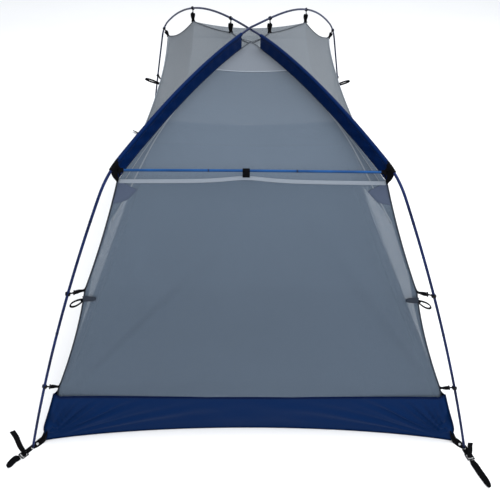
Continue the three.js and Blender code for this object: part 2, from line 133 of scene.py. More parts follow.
def add_floor():
    half = 14.0
    corners = [(-half, -half, 0), (half, -half, 0), (half, half, 0), (-half, half, 0)]
    floor = mesh_object("studio_floor", corners, [(0, 1, 2, 3)], floor_material())
    floor.location.z = -0.0004


# ---- materials -----------------------------------------------------------------------------
class Nodes:
    """Short names for the node calls that every material makes."""

    def __init__(self, name):
        self.material = bpy.data.materials.new(name)
        self.material.use_nodes = True
        self.tree = self.material.node_tree
        self.shader = self.tree.nodes["Principled BSDF"]

    def add(self, kind, **values):
        node = self.tree.nodes.new(kind)
        for key, value in values.items():
            if hasattr(node, key):
                setattr(node, key, value)
            else:
                node.inputs[key.replace("_", " ")].default_value = value
        return node

    def link(self, out, into):
        self.tree.links.new(out, into)

    def math(self, operation, a, b=None):
        node = self.add("ShaderNodeMath", operation=operation)
        for socket, value in zip(node.inputs, (a, b)):
            if isinstance(value, (int, float)):
                socket.default_value = value
            elif value is not None:
                self.link(value, socket)
        return node.outputs[0]

    def coordinates(self, kind="UV"):
        return self.add("ShaderNodeTexCoord").outputs[kind]

    def axes(self, kind="UV"):
        split = self.add("ShaderNodeSeparateXYZ")
        self.link(self.coordinates(kind), split.inputs[0])
        return split.outputs[0], split.outputs[1], split.outputs[2]

    def noise(self, scale, detail=3.0, kind="Object", distortion=0.0):
        node = self.add("ShaderNodeTexNoise", Scale=scale, Detail=detail, Distortion=distortion)
        self.link(self.coordinates(kind), node.inputs["Vector"])
        return node.outputs["Fac"]

    def ripple(self, coordinate, period):
        """A wave from 0 to 1 along one coordinate."""
        turn = self.math("MULTIPLY", coordinate, 2 * math.pi / period)
        return self.math("MULTIPLY_ADD", self.math("SINE", turn), 0.5)

    def ramp(self, factor, stops):
        node = self.add("ShaderNodeValToRGB")
        elements = node.color_ramp.elements
        for element, (place, colour) in zip(elements, stops):
            element.position = place
            element.color = (*colour, 1)
        for place, colour in stops[2:]:
            elements.new(place).color = (*colour, 1)
        self.link(factor, node.inputs["Fac"])
        return node.outputs["Color"]

    def bump(self, height, distance, strength=1.0, below=None):
        node = self.add("ShaderNodeBump", Strength=strength, Distance=distance)
        self.link(height, node.inputs["Height"])
        if below is not None:
            self.link(below, node.inputs["Normal"])
        return node.outputs["Normal"]

    def set(self, **values):
        for key, value in values.items():
            socket = self.shader.inputs[key.replace("_", " ")]
            if hasattr(value, "is_linked"):
                self.link(value, socket)
            else:
                socket.default_value = value

    def spread(self, value, low, high):
        node = self.add("ShaderNodeMapRange")
        self.link(value, node.inputs["Value"])
        node.inputs["To Min"].default_value = low
        node.inputs["To Max"].default_value = high
        return node.outputs["Result"]


def tint(colour, factor):
    return tuple(c * factor for c in colour)


def woven(name, colour, rough, alpha=1.0, thread=0.0016, contrast=0.25, sheen=0.15, spec=0.3,
          ripstop=None, crinkle=0.0006, painted_light_grade=None):
    """Cloth: crossing threads, slow colour drift, creases and, on a mesh, holes between the threads.

    The last argument, (axis, from, to, gain), paints light into the cloth: its colour is painted paler from
    one place to the other by the gain.
    """
    n = Nodes(name)
    u, v, _ = n.axes("UV")
    across, along = n.ripple(u, thread), n.ripple(v, thread)
    threads = n.math("MAXIMUM", across, along)
    drift = n.noise(2.2, 4.0)
    fine = n.noise(160.0, 2.0)
    shade = n.math("MULTIPLY", n.spread(threads, 1 - contrast, 1.0), n.spread(drift, 0.93, 1.07))
    shade = n.math("MULTIPLY", shade, n.spread(fine, 0.95, 1.05))
    # Painted light: the colour brightens along one axis of the panel, by the gain.
    if painted_light_grade:
        axis, start, stop, gain = painted_light_grade
        place = n.add("ShaderNodeMapRange")
        n.link(n.axes("Object")[axis], place.inputs["Value"])
        place.inputs["From Min"].default_value = start
        place.inputs["From Max"].default_value = stop
        colour = tint(colour, gain)
        shade = n.math("MULTIPLY", shade, n.spread(place.outputs["Result"], 1 / gain, 1.0))
    if ripstop:
        grid = n.math("MAXIMUM", n.ripple(u, ripstop), n.ripple(v, ripstop))
        line = n.math("POWER", grid, 40.0)
        shade = n.math("MULTIPLY", shade, n.spread(line, 1.0, 1.16))
    n.set(Base_Color=n.ramp(shade, [(0.0, (0, 0, 0)), (1.0, colour)]))
    creases = n.noise(9.0, 5.0, distortion=0.6)
    normal = n.bump(creases, crinkle * 4, 0.5)
    n.set(Normal=n.bump(threads, thread * 0.12, 0.5, normal))
    n.set(Roughness=n.spread(fine, rough - 0.05, rough + 0.05))
    n.set(Sheen_Weight=sheen, Sheen_Roughness=0.5, Specular_IOR_Level=spec)
    if alpha < 1.0:
        holes = n.math("POWER", threads, 1.5)
        n.set(Alpha=n.spread(holes, 2.6 * alpha - 1.6, 1.0))
    return n.material


def side_cloth(name, mesh, solid, alpha):
    """Side cloth: fine mesh low down at the front, solid above a curved, double-stitched seam."""
    mesh_long, mesh_tall, round_off = 1.34, 0.572, 1.25    # the mesh's corner, in metres, and its curve
    border = 0.085                                         # solid cloth along the front edge
    # Height, start and half width of a pale line: a strip of more open mesh carrying a painted light streak.
    light_streak_height, light_streak_start, light_streak_half = 0.318, 0.42, 0.006
    n = Nodes(name)
    u, v, _ = n.axes("UV")
    threads = n.math("MAXIMUM", n.ripple(u, 0.0017), n.ripple(v, 0.0017))
    along = n.math("POWER", n.math("MAXIMUM", n.math("DIVIDE", u, mesh_long), 0.0), round_off)
    height = n.math("POWER", n.math("MAXIMUM", n.math("DIVIDE", v, mesh_tall), 0.0), round_off)
    curve = n.math("SUBTRACT", n.math("ADD", along, height), 0.96)
    edge = n.math("SUBTRACT", border, u)
    outside = n.math("MAXIMUM", n.math("MULTIPLY", curve, 0.6), edge)
    is_solid = n.math("GREATER_THAN", outside, 0.0)
    seam = n.math("LESS_THAN", n.math("ABSOLUTE", n.math("SUBTRACT", outside, 0.008)), 0.0035)
    shade = n.math("MULTIPLY", n.spread(threads, 0.78, 1.0), n.spread(n.noise(2.2, 4.0), 0.92, 1.08))
    shade = n.math("MULTIPLY", shade, n.spread(seam, 1.0, 0.45))
    mix = n.add("ShaderNodeMix", data_type="RGBA")
    n.link(is_solid, mix.inputs["Factor"])
    mix.inputs[6].default_value = (*mesh, 1)
    # The solid cloth's colour is partly its real darker fabric, darkened further as painted shade for the
    # wall's shaded inner face.
    mix.inputs[7].default_value = (*solid, 1)
    dark = n.add("ShaderNodeMix", data_type="RGBA", blend_type="MULTIPLY")
    dark.inputs["Factor"].default_value = 1.0
    n.link(mix.outputs[2], dark.inputs[6])
    n.link(shade, dark.inputs[7])
    # A narrow strip of more open mesh across the rear of the wall. Its alpha is lowered, and its pale colour
    # is a painted light streak where light comes through.
    line = n.math("LESS_THAN", n.math("ABSOLUTE", n.math("SUBTRACT", v, light_streak_height)), light_streak_half)
    line = n.math("MULTIPLY", line, n.math("GREATER_THAN", u, light_streak_start))
    pale = n.add("ShaderNodeMix", data_type="RGBA")
    n.link(line, pale.inputs["Factor"])
    n.link(dark.outputs[2], pale.inputs[6])
    pale.inputs[7].default_value = (0.45, 0.49, 0.54, 1)
    n.set(Base_Color=pale.outputs[2], Roughness=0.82, Specular_IOR_Level=0.12, Sheen_Weight=0.03)
    n.set(Normal=n.bump(threads, 0.0002, 0.5, n.bump(n.noise(9.0, 5.0, distortion=0.6), 0.0024, 0.5)))
    holes = n.spread(n.math("POWER", threads, 1.5), 2.6 * alpha - 1.6, 1.0)
    thin = n.spread(line, 1.0, 0.45)
    n.set(Alpha=n.math("MULTIPLY", n.math("MAXIMUM", holes, is_solid), thin))
    return n.material


def webbing_material(name, colour):
    """Flat woven strap: a herringbone of thick yarns, a little worn along the ribs."""
    n = Nodes(name)
    u, v, _ = n.axes("UV")
    zigzag = n.math("SUBTRACT", n.math("FRACT", n.math("MULTIPLY", v, 160.0)), 0.5)
    slant = n.math("ADD", u, n.math("ABSOLUTE", zigzag))
    ribs = n.ripple(n.math("MULTIPLY", slant, 0.02), 0.0011)
    yarn = n.math("MULTIPLY", ribs, n.ripple(v, 0.0016))
    wear = n.noise(60.0, 4.0)
    shade = n.math("MULTIPLY", n.spread(yarn, 0.55, 1.0), n.spread(wear, 0.8, 1.3))
    n.set(Base_Color=n.ramp(shade, [(0.0, (0.001, 0.001, 0.001)), (1.0, colour)]))
    n.set(Normal=n.bump(yarn, 0.0004, 0.7), Roughness=0.88, Specular_IOR_Level=0.05)
    return n.material


def plastic_material():
    n = Nodes("black_acetal")
    grain = n.noise(900.0, 2.0)
    scuffs = n.noise(70.0, 5.0)
    n.set(Base_Color=n.ramp(scuffs, [(0.35, (0.002, 0.002, 0.003)), (0.75, (0.006, 0.006, 0.008))]))
    n.set(Normal=n.bump(grain, 0.00006, 0.5), Roughness=n.spread(scuffs, 0.50, 0.66))
    n.set(Specular_IOR_Level=0.12)
    return n.material


def pole_material(name, dark, light):
    """Blue anodised tube with fine lengthwise drawing lines and rubbed spots."""
    n = Nodes(name)
    streaks = n.noise(45.0, 5.0, "UV")
    rub = n.noise(14.0, 5.0)
    n.set(Base_Color=n.ramp(rub, [(0.30, dark), (0.72, light)]))
    n.set(Metallic=0.6, Roughness=n.spread(streaks, 0.30, 0.46), Specular_IOR_Level=0.3)
    n.set(Normal=n.bump(streaks, 0.00004, 0.4))
    return n.material


def metal_material(name, colour, rough):
    n = Nodes(name)
    brushed = n.noise(220.0, 4.0)
    n.set(Base_Color=n.ramp(brushed, [(0.3, tint(colour, 0.75)), (0.8, colour)]))
    n.set(Metallic=1.0, Roughness=n.spread(brushed, rough, rough + 0.18))
    n.set(Normal=n.bump(brushed, 0.00003, 0.4))
    return n.material


def thread_material(name, colour):
    n = Nodes(name)
    twist = n.noise(1400.0, 2.0)
    n.set(Base_Color=n.ramp(twist, [(0.3, tint(colour, 0.6)), (0.8, colour)]))
    n.set(Roughness=0.7, Normal=n.bump(twist, 0.0001, 0.5))
    return n.material


def floor_material():
    n = Nodes("pale_floor")
    patches = n.noise(1.5, 3.0)
    n.set(Base_Color=n.ramp(patches, [(0.2, (0.90, 0.90, 0.90)), (0.9, (0.93, 0.93, 0.93))]))
    n.set(Roughness=0.9, Specular_IOR_Level=0.1)
    return n.material


# Painted light: the front wall's mesh is painted paler towards its top, the front roof's towards its lower
# edge.
FRONT_MESH = woven("front_mesh", (0.092, 0.120, 0.158), 0.85, alpha=0.78, thread=0.0017, contrast=0.3,
                   sheen=0.02, spec=0.12, painted_light_grade=(2, 0.40, 0.85, 1.16))
ROOF_MESH = woven("front_roof_mesh", (0.088, 0.113, 0.147), 0.85, alpha=0.88, thread=0.0017, contrast=0.3,
                  sheen=0.02, spec=0.12, painted_light_grade=(1, -0.25, -0.83, 1.14))
CANOPY_MESH = woven("canopy_mesh", (0.150, 0.170, 0.192), 0.85, alpha=0.84, thread=0.0017, contrast=0.25,
                    sheen=0.03, spec=0.12)
CANOPY_SOLID = woven("canopy_solid", (0.138, 0.157, 0.184), 0.75, thread=0.0006, contrast=0.12,
                     sheen=0.05, spec=0.15)
# The third colour, the solid cloth, is partly its real darker fabric and partly painted shade for the wall's
# shaded inner face.
SIDE_CLOTH = side_cloth("side_cloth", (0.185, 0.205, 0.227), (0.057, 0.063, 0.082), 0.58)
TUB_CLOTH = woven("tub_taffeta", (0.0008, 0.0130, 0.060), 0.44, thread=0.0005, contrast=0.15,
                  sheen=0.0, spec=0.035, ripstop=0.006)
SLEEVE_CLOTH = woven("sleeve_taffeta", (0.0006, 0.0104, 0.058), 0.5, thread=0.0005, contrast=0.15,
                     sheen=0.0, spec=0.03)
TAPE = woven("seam_tape", (0.245, 0.278, 0.322), 0.8, thread=0.0009, contrast=0.3, sheen=0.03, spec=0.12)
SOFT_TAPE = woven("soft_tape", (0.165, 0.190, 0.222), 0.8, thread=0.0009, contrast=0.3,
                  sheen=0.03, spec=0.12)
CORNER_PATCH = woven("corner_patch", (0.066, 0.084, 0.128), 0.85, thread=0.0012, contrast=0.3,
                     sheen=0.02, spec=0.1)
BINDING = woven("edge_binding", (0.022, 0.028, 0.040), 0.8, thread=0.0008, contrast=0.35,
                sheen=0.02, spec=0.12)
NAVY_TAPE = woven("navy_tape", (0.0006, 0.0060, 0.034), 0.6, thread=0.0008, contrast=0.3,
                  sheen=0.0, spec=0.03)
GREY_BINDING = woven("grey_binding", (0.055, 0.064, 0.078), 0.8, thread=0.0008, contrast=0.3,
                     sheen=0.02, spec=0.1)
WEB = webbing_material("black_webbing", (0.003, 0.003, 0.004))
PLASTIC = plastic_material()
POLE = pole_material("blue_anodised_pole", (0.002, 0.005, 0.030), (0.005, 0.016, 0.085))
BAR = pole_material("bright_blue_crossbar", (0.003, 0.033, 0.115), (0.006, 0.058, 0.190))
COLLAR = pole_material("dark_blue_collar", (0.001, 0.003, 0.016), (0.003, 0.009, 0.045))
DARK_METAL = metal_material("dark_metal", (0.10, 0.10, 0.11), 0.35)
THREAD = thread_material("dark_thread", (0.03, 0.035, 0.05))
PALE_THREAD = thread_material("grey_thread", (0.30, 0.33, 0.37))
NAVY_THREAD = thread_material("navy_thread", (0.02, 0.05, 0.13))


# ---- mesh helpers --------------------------------------------------------------------------
def mesh_object(name, points, faces, material, uv=None, smooth=True):
    mesh = bpy.data.meshes.new(name)
    mesh.from_pydata([tuple(map(float, p)) for p in points], [], faces)
    for m in material if isinstance(material, (list, tuple)) else [material]:
        mesh.materials.append(m)
    mesh.polygons.foreach_set("use_smooth", [smooth] * len(mesh.polygons))
    if uv is not None:
        layer = mesh.uv_layers.new(name="cloth")
        corner = np.zeros(len(mesh.loops), np.int32)
        mesh.loops.foreach_get("vertex_index", corner)
        layer.data.foreach_set("uv", np.asarray(uv, np.float32)[corner].ravel())
    mesh.update()
    obj = bpy.data.objects.new(name, mesh)
    bpy.context.scene.collection.objects.link(obj)
    return obj


def finish_piece(obj, body, slot, *nodes):
    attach(obj, body)
    if nodes:
        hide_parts(*nodes)
    return obj


def unit(v):
    v = np.asarray(v, float)
    return v / np.linalg.norm(v)


def grid_faces(rows, cols, start=0, wrap=False):
    span = cols if wrap else cols - 1
    faces = []
    for i in range(rows - 1):
        low, high = start + i * cols, start + (i + 1) * cols
        for j in range(span):
            after = (j + 1) % cols
            faces.append((low + j, low + after, high + after, high + j))
    return faces


def flipped(faces):
    return [tuple(reversed(f)) for f in faces]


def cloth_uv(grid):
    """Lengths along the cloth, in metres, from the middle of the grid."""
    step_u = np.linalg.norm(np.diff(grid, axis=1), axis=2)
    step_v = np.linalg.norm(np.diff(grid, axis=0), axis=2)
    u = np.concatenate([np.zeros((len(grid), 1)), np.cumsum(step_u, axis=1)], axis=1)
    v = np.concatenate([np.zeros((1, grid.shape[1])), np.cumsum(step_v, axis=0)], axis=0)
    u -= u[:, -1:] / 2
    return np.stack([u, v], axis=2).reshape(-1, 2)


def sheet_object(name, grid, material):
    grid = np.asarray(grid, float)
    faces = grid_faces(*grid.shape[:2])
    return mesh_object(name, grid.reshape(-1, 3), faces, material, cloth_uv(grid))


class Pieces:
    """Many small closed shapes gathered in one mesh."""

    def __init__(self):
        self.points, self.faces, self.uv, self.slots = [], [], [], []

    def add(self, points, faces, uv=None, slot=0):
        start = len(self.points)
        self.points.extend(np.asarray(points, float))
        self.uv.extend(np.zeros((len(points), 2)) if uv is None else uv)
        self.faces.extend([tuple(start + i for i in f) for f in faces])
        self.slots.extend([slot] * len(faces))

    def sweep(self, path, section, ups, slot=0, closed=False):
        """A closed section swept along a path. Section x goes sideways and y along each up."""
        path, section = np.asarray(path, float), np.asarray(section, float)
        count, m = len(path), section.shape[-2]
        ups = np.broadcast_to(np.asarray(ups, float), path.shape)
        if closed:
            tangent = np.roll(path, -1, 0) - np.roll(path, 1, 0)
        else:
            tangent = np.gradient(path, axis=0)
        tangent /= np.linalg.norm(tangent, axis=1, keepdims=True)
        side = np.cross(tangent, ups)
        side /= np.linalg.norm(side, axis=1, keepdims=True)
        top = np.cross(side, tangent)
        scale = section if section.ndim == 3 else np.broadcast_to(section, (count, m, 2))
        rings = path[:, None] + side[:, None] * scale[:, :, :1] + top[:, None] * scale[:, :, 1:]
        length = np.concatenate([[0], np.cumsum(np.linalg.norm(np.diff(path, axis=0), axis=1))])
        uv = np.stack(np.broadcast_arrays(length[:, None], scale[:, :, 0]), axis=2).reshape(-1, 2)
        faces = grid_faces(count, m, wrap=True)
        if closed:
            last = (count - 1) * m
            faces += [(last + j, last + (j + 1) % m, (j + 1) % m, j) for j in range(m)]
        else:
            faces += [tuple(reversed(range(m))), tuple(range((count - 1) * m, count * m))]
        self.add(rings.reshape(-1, 3), faces, uv, slot)

    def make(self, name, material, smooth=True):
        obj = mesh_object(name, self.points, self.faces, material, self.uv, smooth)
        obj.data.polygons.foreach_set("material_index", self.slots)
        return obj


def circle(radius, sides=16):
    angles = np.arange(sides) * 2 * math.pi / sides
    return np.stack([np.cos(angles), np.sin(angles)], axis=1) * radius


def strap_section(width, thick):
    """A flat strap with rounded edges."""
    w, t = width / 2, thick / 2
    edge = w - t * 0.7
    return np.array([(-w, 0), (-edge, -t), (-edge / 2, -t), (edge / 2, -t), (edge, -t),
                     (w, 0), (edge, t), (edge / 2, t), (-edge / 2, t), (-edge, t)])


def smooth_path(points, count):
    """A Catmull-Rom line through given points."""
    p = np.asarray(points, float)
    p = np.vstack([2 * p[0] - p[1], p, 2 * p[-1] - p[-2]])
    out = []
    for t in np.linspace(0, len(p) - 3, count):
        i = min(int(t), len(p) - 4)
        f = t - i
        a, b, c, d = p[i:i + 4]
        out.append(0.5 * (2 * b + (c - a) * f + (2 * a - 5 * b + 4 * c - d) * f * f
                          + (3 * b - a - 3 * c + d) * f ** 3))
    return np.array(out)


def stitches(pieces, path, ups, pitch=0.005, dash=0.0032, lift=0.0006, thick=0.0006, slot=0):
    """A row of thread dashes along a path."""
    path = np.asarray(path, float)
    ups = np.broadcast_to(np.asarray(ups, float), path.shape)
    length = np.concatenate([[0], np.cumsum(np.linalg.norm(np.diff(path, axis=0), axis=1))])
    for start in np.arange(0.002, length[-1] - dash, pitch):
        places = (start, start + dash)
        ends = [np.array([np.interp(at, length, path[:, k]) for k in range(3)]) for at in places]
        up = unit([np.interp(start, length, ups[:, k]) for k in range(3)])
        along = unit(ends[1] - ends[0])
        across = np.cross(along, up) * thick / 2
        ends = [e + up * lift for e in ends]
        top = up * thick
        points = [ends[0] - across, ends[0] + across, ends[1] + across, ends[1] - across]
        middle = (ends[0] + ends[1]) / 2 + top
        points += [middle - across * 0.6, middle + across * 0.6]
        faces = [(3, 2, 1, 0), (0, 1, 5, 4), (2, 3, 4, 5), (1, 2, 5), (3, 0, 4)]
        pieces.add(points, faces, slot=slot)


# ---- the pole and seam lines ---------------------------------------------------------------
def arm(end, side, s, lift=0.0):
    ex, ey, ez = end["elbow"]
    z = PEAK[2] - (PEAK[2] - ez) * s ** end["power"] + lift * (1 - s) ** 8
    return np.array([side * ex * s, PEAK[1] + (ey - PEAK[1]) * s, z])


def leg(end, side, t):
    ex, ey, ez = end["elbow"]
    fx, fy = end["foot"]
    x = fx + (ex - fx) * t + end["bow"] * 4 * t * (1 - t)
    return np.array([side * x, fy + (ey - fy) * t, FOOT_Z + (ez - FOOT_Z) * t])


def leg_at(end, side, z):
    return leg(end, side, (z - FOOT_Z) / (end["elbow"][2] - FOOT_Z))


def elbow(end, side, t):
    a, c = leg(end, side, 1 - BEND), arm(end, side, 1 - BEND)
    b = np.array([side * end["elbow"][0], *end["elbow"][1:]])
    return (1 - t) ** 2 * a + 2 * t * (1 - t) * b + t * t * c


def ease(t):
    t = min(max(t, 0.0), 1.0)
    return t * t * (3 - 2 * t)


def roof_seam(end, side, s, dips=True):
    """The seam under a roof arm. On the rear arms it hangs in scallops between the clips."""
    w = ease((s - 0.7) / 0.3)
    sx, sy, sz = end["seam"]
    p = arm(end, side, s) + np.array([side * sx * w, sy * w, sz * w - end["drop"]])
    if dips and end is REAR:
        holds = (0.0, *ARM_CLIPS, 1.0)
        for low, high, dip in zip(holds, holds[1:], (0.006, 0.018, 0.044)):
            if low <= s <= high:
                t = (s - low) / (high - low)
                p = p - np.array([0, 0, dip * 4 * t * (1 - t)])
    return p


def straight_corner(end, side, v):
    base = np.array([side * end["rim"][0], end["rim"][1], TUB_TOP + 0.001])
    return base + (roof_seam(end, side, 1.0) - base) * v


def corner_share(end, z):
    low, high = TUB_TOP + 0.001, roof_seam(end, 1, 1.0)[2]
    return (z - low) / (high - low)


def corner_seam(end, side, v):
    """The wall's corner seam: pulled out at the leg clips, drawn in between them."""
    holds = (0.0, *(corner_share(end, z - CLIP_PULL) for z in end["clips"]), 1.0)
    pulls = (0.0, *end["pulls"], 0.0)
    out = 0.0
    for i in range(3):
        if holds[i] <= v <= holds[i + 1]:
            t = (v - holds[i]) / (holds[i + 1] - holds[i])
            out = pulls[i] + (pulls[i + 1] - pulls[i]) * t - end["dips"][i] * 4 * t * (1 - t)
    return straight_corner(end, side, v) + out * np.array([side * 0.75, end["sign"] * 0.66, 0])


def seam_out(end, side):
    return unit([side * 0.75, end["sign"] * 0.66, 0.25])


# ---- poles ---------------------------------------------------------------------------------
def pole_line(side, lift):
    """From a front foot over the peak to the rear foot on the other side."""
    shares = np.linspace(0, 1 - BEND, 40)
    bends = np.linspace(0, 1, 12)[1:-1]
    line = [leg(FRONT, side, t) for t in shares]
    line += [elbow(FRONT, side, t) for t in bends]
    line += [arm(FRONT, side, s, lift) for s in shares[::-1]]
    line += [arm(REAR, -side, s, lift) for s in shares[1:]]
    line += [elbow(REAR, -side, t) for t in bends[::-1]]
    line += [leg(REAR, -side, t) for t in shares[::-1]]
    return np.array(line)


def along_line(line, distance):
    length = np.concatenate([[0], np.cumsum(np.linalg.norm(np.diff(line, axis=0), axis=1))])
    return np.array([np.interp(distance, length, line[:, k]) for k in range(3)]), length[-1]


def steady_up(line):
    """An up direction square to the line that never flips over."""
    ups, up = [], np.array([0.0, 0.3, 1.0])
    for t in np.gradient(line, axis=0):
        t = unit(t)
        up = unit(up - t * np.dot(up, t))
        ups.append(up)
    return np.array(ups)


def add_poles():
    ferrules = Pieces()
    for side, lift, word, other in ((-1, CROSS_LIFT, "left", "right"), (1, -CROSS_LIFT, "right", "left")):
        line = pole_line(side, lift)
        pole = Pieces()
        pole.sweep(line, circle(POLE_R, 18), steady_up(line))
        obj = pole.make(f"long_pole_from_front_{word}", POLE)
        finish_piece(obj, ROOT, "blue_pole", f"front_leg_pole_{word}", f"front_elbow_pole_{word}",
                     f"roof_pole_from_front_{word}", f"rear_elbow_pole_{other}", f"rear_leg_pole_{other}")
        total = along_line(line, 0)[1]
        for share in FERRULES:
            add_ferrule(ferrules, line, share * total)
        inset, tip_length = 0.001, 0.012
        for start, stop in ((inset, tip_length), (total - tip_length, total - inset)):
            tip = np.array([along_line(line, d)[0] for d in np.linspace(start, stop, 4)])
            ferrules.sweep(tip, circle(POLE_R + 0.0003, 16), steady_up(tip))
    finish_piece(ferrules.make("pole_ferrules_and_tips", COLLAR), ROOT, "blue_pole")


def add_ferrule(pieces, line, distance):
    """A thin bright collar where two pole sections meet."""
    path = np.array([along_line(line, distance + d)[0] for d in (-0.0035, -0.003, 0.003, 0.0035)])
    section = np.array([circle(r, 16) for r in (POLE_R, POLE_R + 0.00035, POLE_R + 0.00035, POLE_R)])
    pieces.sweep(path, section, steady_up(path))


def add_crossbar():
    half, y, z, r = (CROSSBAR[k] for k in ("half", "y", "z", "r"))
    xs = np.linspace(-half, half, 60)
    line = np.array([(x, y, z + 0.0015 * (1 - (x / half) ** 2)) for x in xs])
    bar = Pieces()
    bar.sweep(line, circle(r, 18), (0, 0, 1))
    finish_piece(bar.make("crossbar_tube", BAR), ROOT, "blue_pole", "crossbar")
    ends = Pieces()
    for x in (-half, -half / 3, half / 3, half):
        width = 0.014 if abs(x) == half else 0.004
        centre = x - math.copysign(width / 2, x) if abs(x) == half else x
        crown = z + 0.0015 * (1 - (centre / half) ** 2)
        path = np.array([(centre + d, y, crown) for d in (-width / 2, width / 2)])
        ends.sweep(path, circle(r + 0.0004, 16), (0, 0, 1))
    finish_piece(ends.make("crossbar_collars", COLLAR), ROOT, "blue_pole")


# ---- canopy --------------------------------------------------------------------------------
def folds(x, y, lines):
    """Soft tension folds: each is a ridge along a line, from (x0, y0) towards (x1, y1)."""
    height = 0.0
    for x0, y0, x1, y1, width, tall in lines:
        dx, dy = x1 - x0, y1 - y0
        length = math.hypot(dx, dy)
        along = ((x - x0) * dx + (y - y0) * dy) / length ** 2
        off = ((x - x0) * dy - (y - y0) * dx) / length
        fade = math.exp(-((along - 0.45) / 0.42) ** 4)
        height += tall * fade * math.exp(-(off / (width * (0.35 + max(along, 0.0)))) ** 2)
    return height


# Each fold is (x0, y0, x1, y1, width, height).
FRONT_FOLDS = [(-0.66, 0.16, -0.02, 0.74, 0.030, 0.0100), (-0.62, 0.16, -0.12, 0.62, 0.016, -0.0065),
               (-0.64, 0.20, -0.22, 0.80, 0.014, 0.0050), (0.66, 0.16, 0.16, 0.80, 0.030, 0.0070),
               (-0.42, 0.86, -0.30, 0.30, 0.030, 0.0030), (0.42, 0.86, 0.33, 0.36, 0.030, 0.0030),
               (-0.60, 0.21, 0.10, 0.22, 0.012, 0.0020)]
REAR_FOLDS = [(-0.60, 0.16, 0.02, 0.70, 0.030, 0.0045), (0.60, 0.16, -0.05, 0.60, 0.030, 0.0040)]


def end_wall(end, bow, fold_lines, rows=61, cols=97):
    grid = np.zeros((rows, cols, 3))
    for i, v in enumerate(np.linspace(0, 1, rows)):
        left, right = corner_seam(end, -1, v), corner_seam(end, 1, v)
        for j, u in enumerate(np.linspace(0, 1, cols)):
            p = left + (right - left) * u
            arch = 4 * u * (1 - u)
            p[1] -= end["sign"] * (bow * (1 - v) + 0.010 * math.sin(math.pi * v)) * arch
            p[1] += end["sign"] * folds(p[0], p[2], fold_lines) * math.sin(math.pi * v) ** 0.5
            p[2] += (clip_pull(p[0]) if end is FRONT else 0.004 * arch) * v ** 12
            grid[i, j] = p
    return grid


def roof_point(end, s, u):
    """A point of an end's roof panel: s from the peak to the elbows, u from left to right."""
    left, right = roof_seam(end, -1, s), roof_seam(end, 1, s)
    p = left + (right - left) * u
    arch = 4 * u * (1 - u)
    sag = 0.030 if end is REAR else 0.012
    p[2] -= sag * arch * math.sin(math.pi * min(s, 1.0)) * (0.4 + s)
    p[2] += (clip_pull(p[0]) if end is FRONT else 0.004 * arch) * ease((s - 0.8) / 0.2)
    return p


def end_roof(end, start, stop, rows, cols=65):
    across = np.linspace(0, 1, cols)
    return np.array([[roof_point(end, s, u) for u in across] for s in np.linspace(start, stop, rows)])


TRIANGLE = 0.5


def tapered(narrow, wide):
    """The share of its rectangle that a trapezoid fills."""
    return (narrow + wide) / (2 * wide)


def declare(obj, width, length, share, rests_on):
    """Takes a stretched sheet's cut, width by length, and the share of it that its pattern fills, and keeps
    none of them. obj, width, length and share are not used; rests_on is only turned into a list.
    """
    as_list(rests_on)


def side_share():
    """The side wall's pattern, door and all: the long edge at the tub tapers to the one at the eave."""
    eave = REAR["elbow"][1] - FRONT["elbow"][1]
    rim = TUB_RIM["rear"][1] - TUB_RIM["front"][1]
    return tapered(eave, rim)


def door_share():
    """The door's part of the side wall's pattern: its rectangle, less the corner outside the arc."""
    corner = (1 - math.pi / 4) * DOOR["arc_u"] * DOOR["arc_v"]
    return (DOOR["hinge"] - DOOR["front"]) * (DOOR["high"] - DOOR["low"]) - corner


def add_end_panels():
    """The walls and roofs of both ends: piece, cloth, material, slot, node, cut, share and supports."""
    front_wall = end_wall(FRONT, TUB_RIM["bow"][0], FRONT_FOLDS)
    rear_wall = end_wall(REAR, TUB_RIM["bow"][1], REAR_FOLDS)
    front_share = tapered(FRONT["elbow"][0], TUB_RIM["front"][0])
    rear_share = tapered(REAR["elbow"][0], TUB_RIM["rear"][0])
    panels = (
        ("front_mesh_wall", front_wall, FRONT_MESH, "grey_mesh", "front_wall",
         (1.30, 0.76), front_share, ["tub_floor", "crossbar"]),
        ("front_mesh_roof", end_roof(FRONT, 1.0, APEX_SEAM, 49), ROOF_MESH, "grey_mesh", "front_roof",
         (0.81, 0.62), tapered(APEX_SEAM, 1), BOTH_POLES),
        ("front_apex_panel", end_roof(FRONT, APEX_SEAM, 0.0, 25), CANOPY_SOLID, "pale_fabric", "apex_panel",
         (0.29, 0.31), TRIANGLE, BOTH_POLES),
        ("rear_mesh_wall", rear_wall, CANOPY_MESH, "pale_fabric", "rear_wall",
         (1.17, 0.70), rear_share, ["tub_floor"]),
        ("rear_mesh_roof", end_roof(REAR, 1.0, 0.0, 73), CANOPY_MESH, "pale_fabric", "rear_roof",
         (0.87, 0.86), TRIANGLE, BOTH_POLES),
    )
    for name, grid, material, slot, node, cut, share, rests_on in panels:
        panel = sheet_object(name, grid, material)
        finish_piece(panel, ROOT, slot, node)
        declare(panel, *cut, share, rests_on)


def eave_sag(u):
    """How far the long edge between the front and rear corners is drawn in towards the middle."""
    return EAVE_SAG * math.sin(math.pi * min(max(u, 0.0), 1.0)) ** 0.7


def side_point(side, u, v):
    """A point of the side wall: u from the front seam to the rear, v from the tub to the roof."""
    front, rear = corner_seam(FRONT, side, v), corner_seam(REAR, side, v)
    p = front + (rear - front) * u
    arch = 4 * u * (1 - u)
    p[0] -= side * (0.012 * arch * math.sin(math.pi * v) + eave_sag(u) * max(v, 0.0) ** 1.5)
    p[0] += side * 0.003 * math.sin(9 * u + 3 * v) * math.sin(math.pi * v) * arch
    p[2] -= 0.014 * arch * v ** 4
    return p


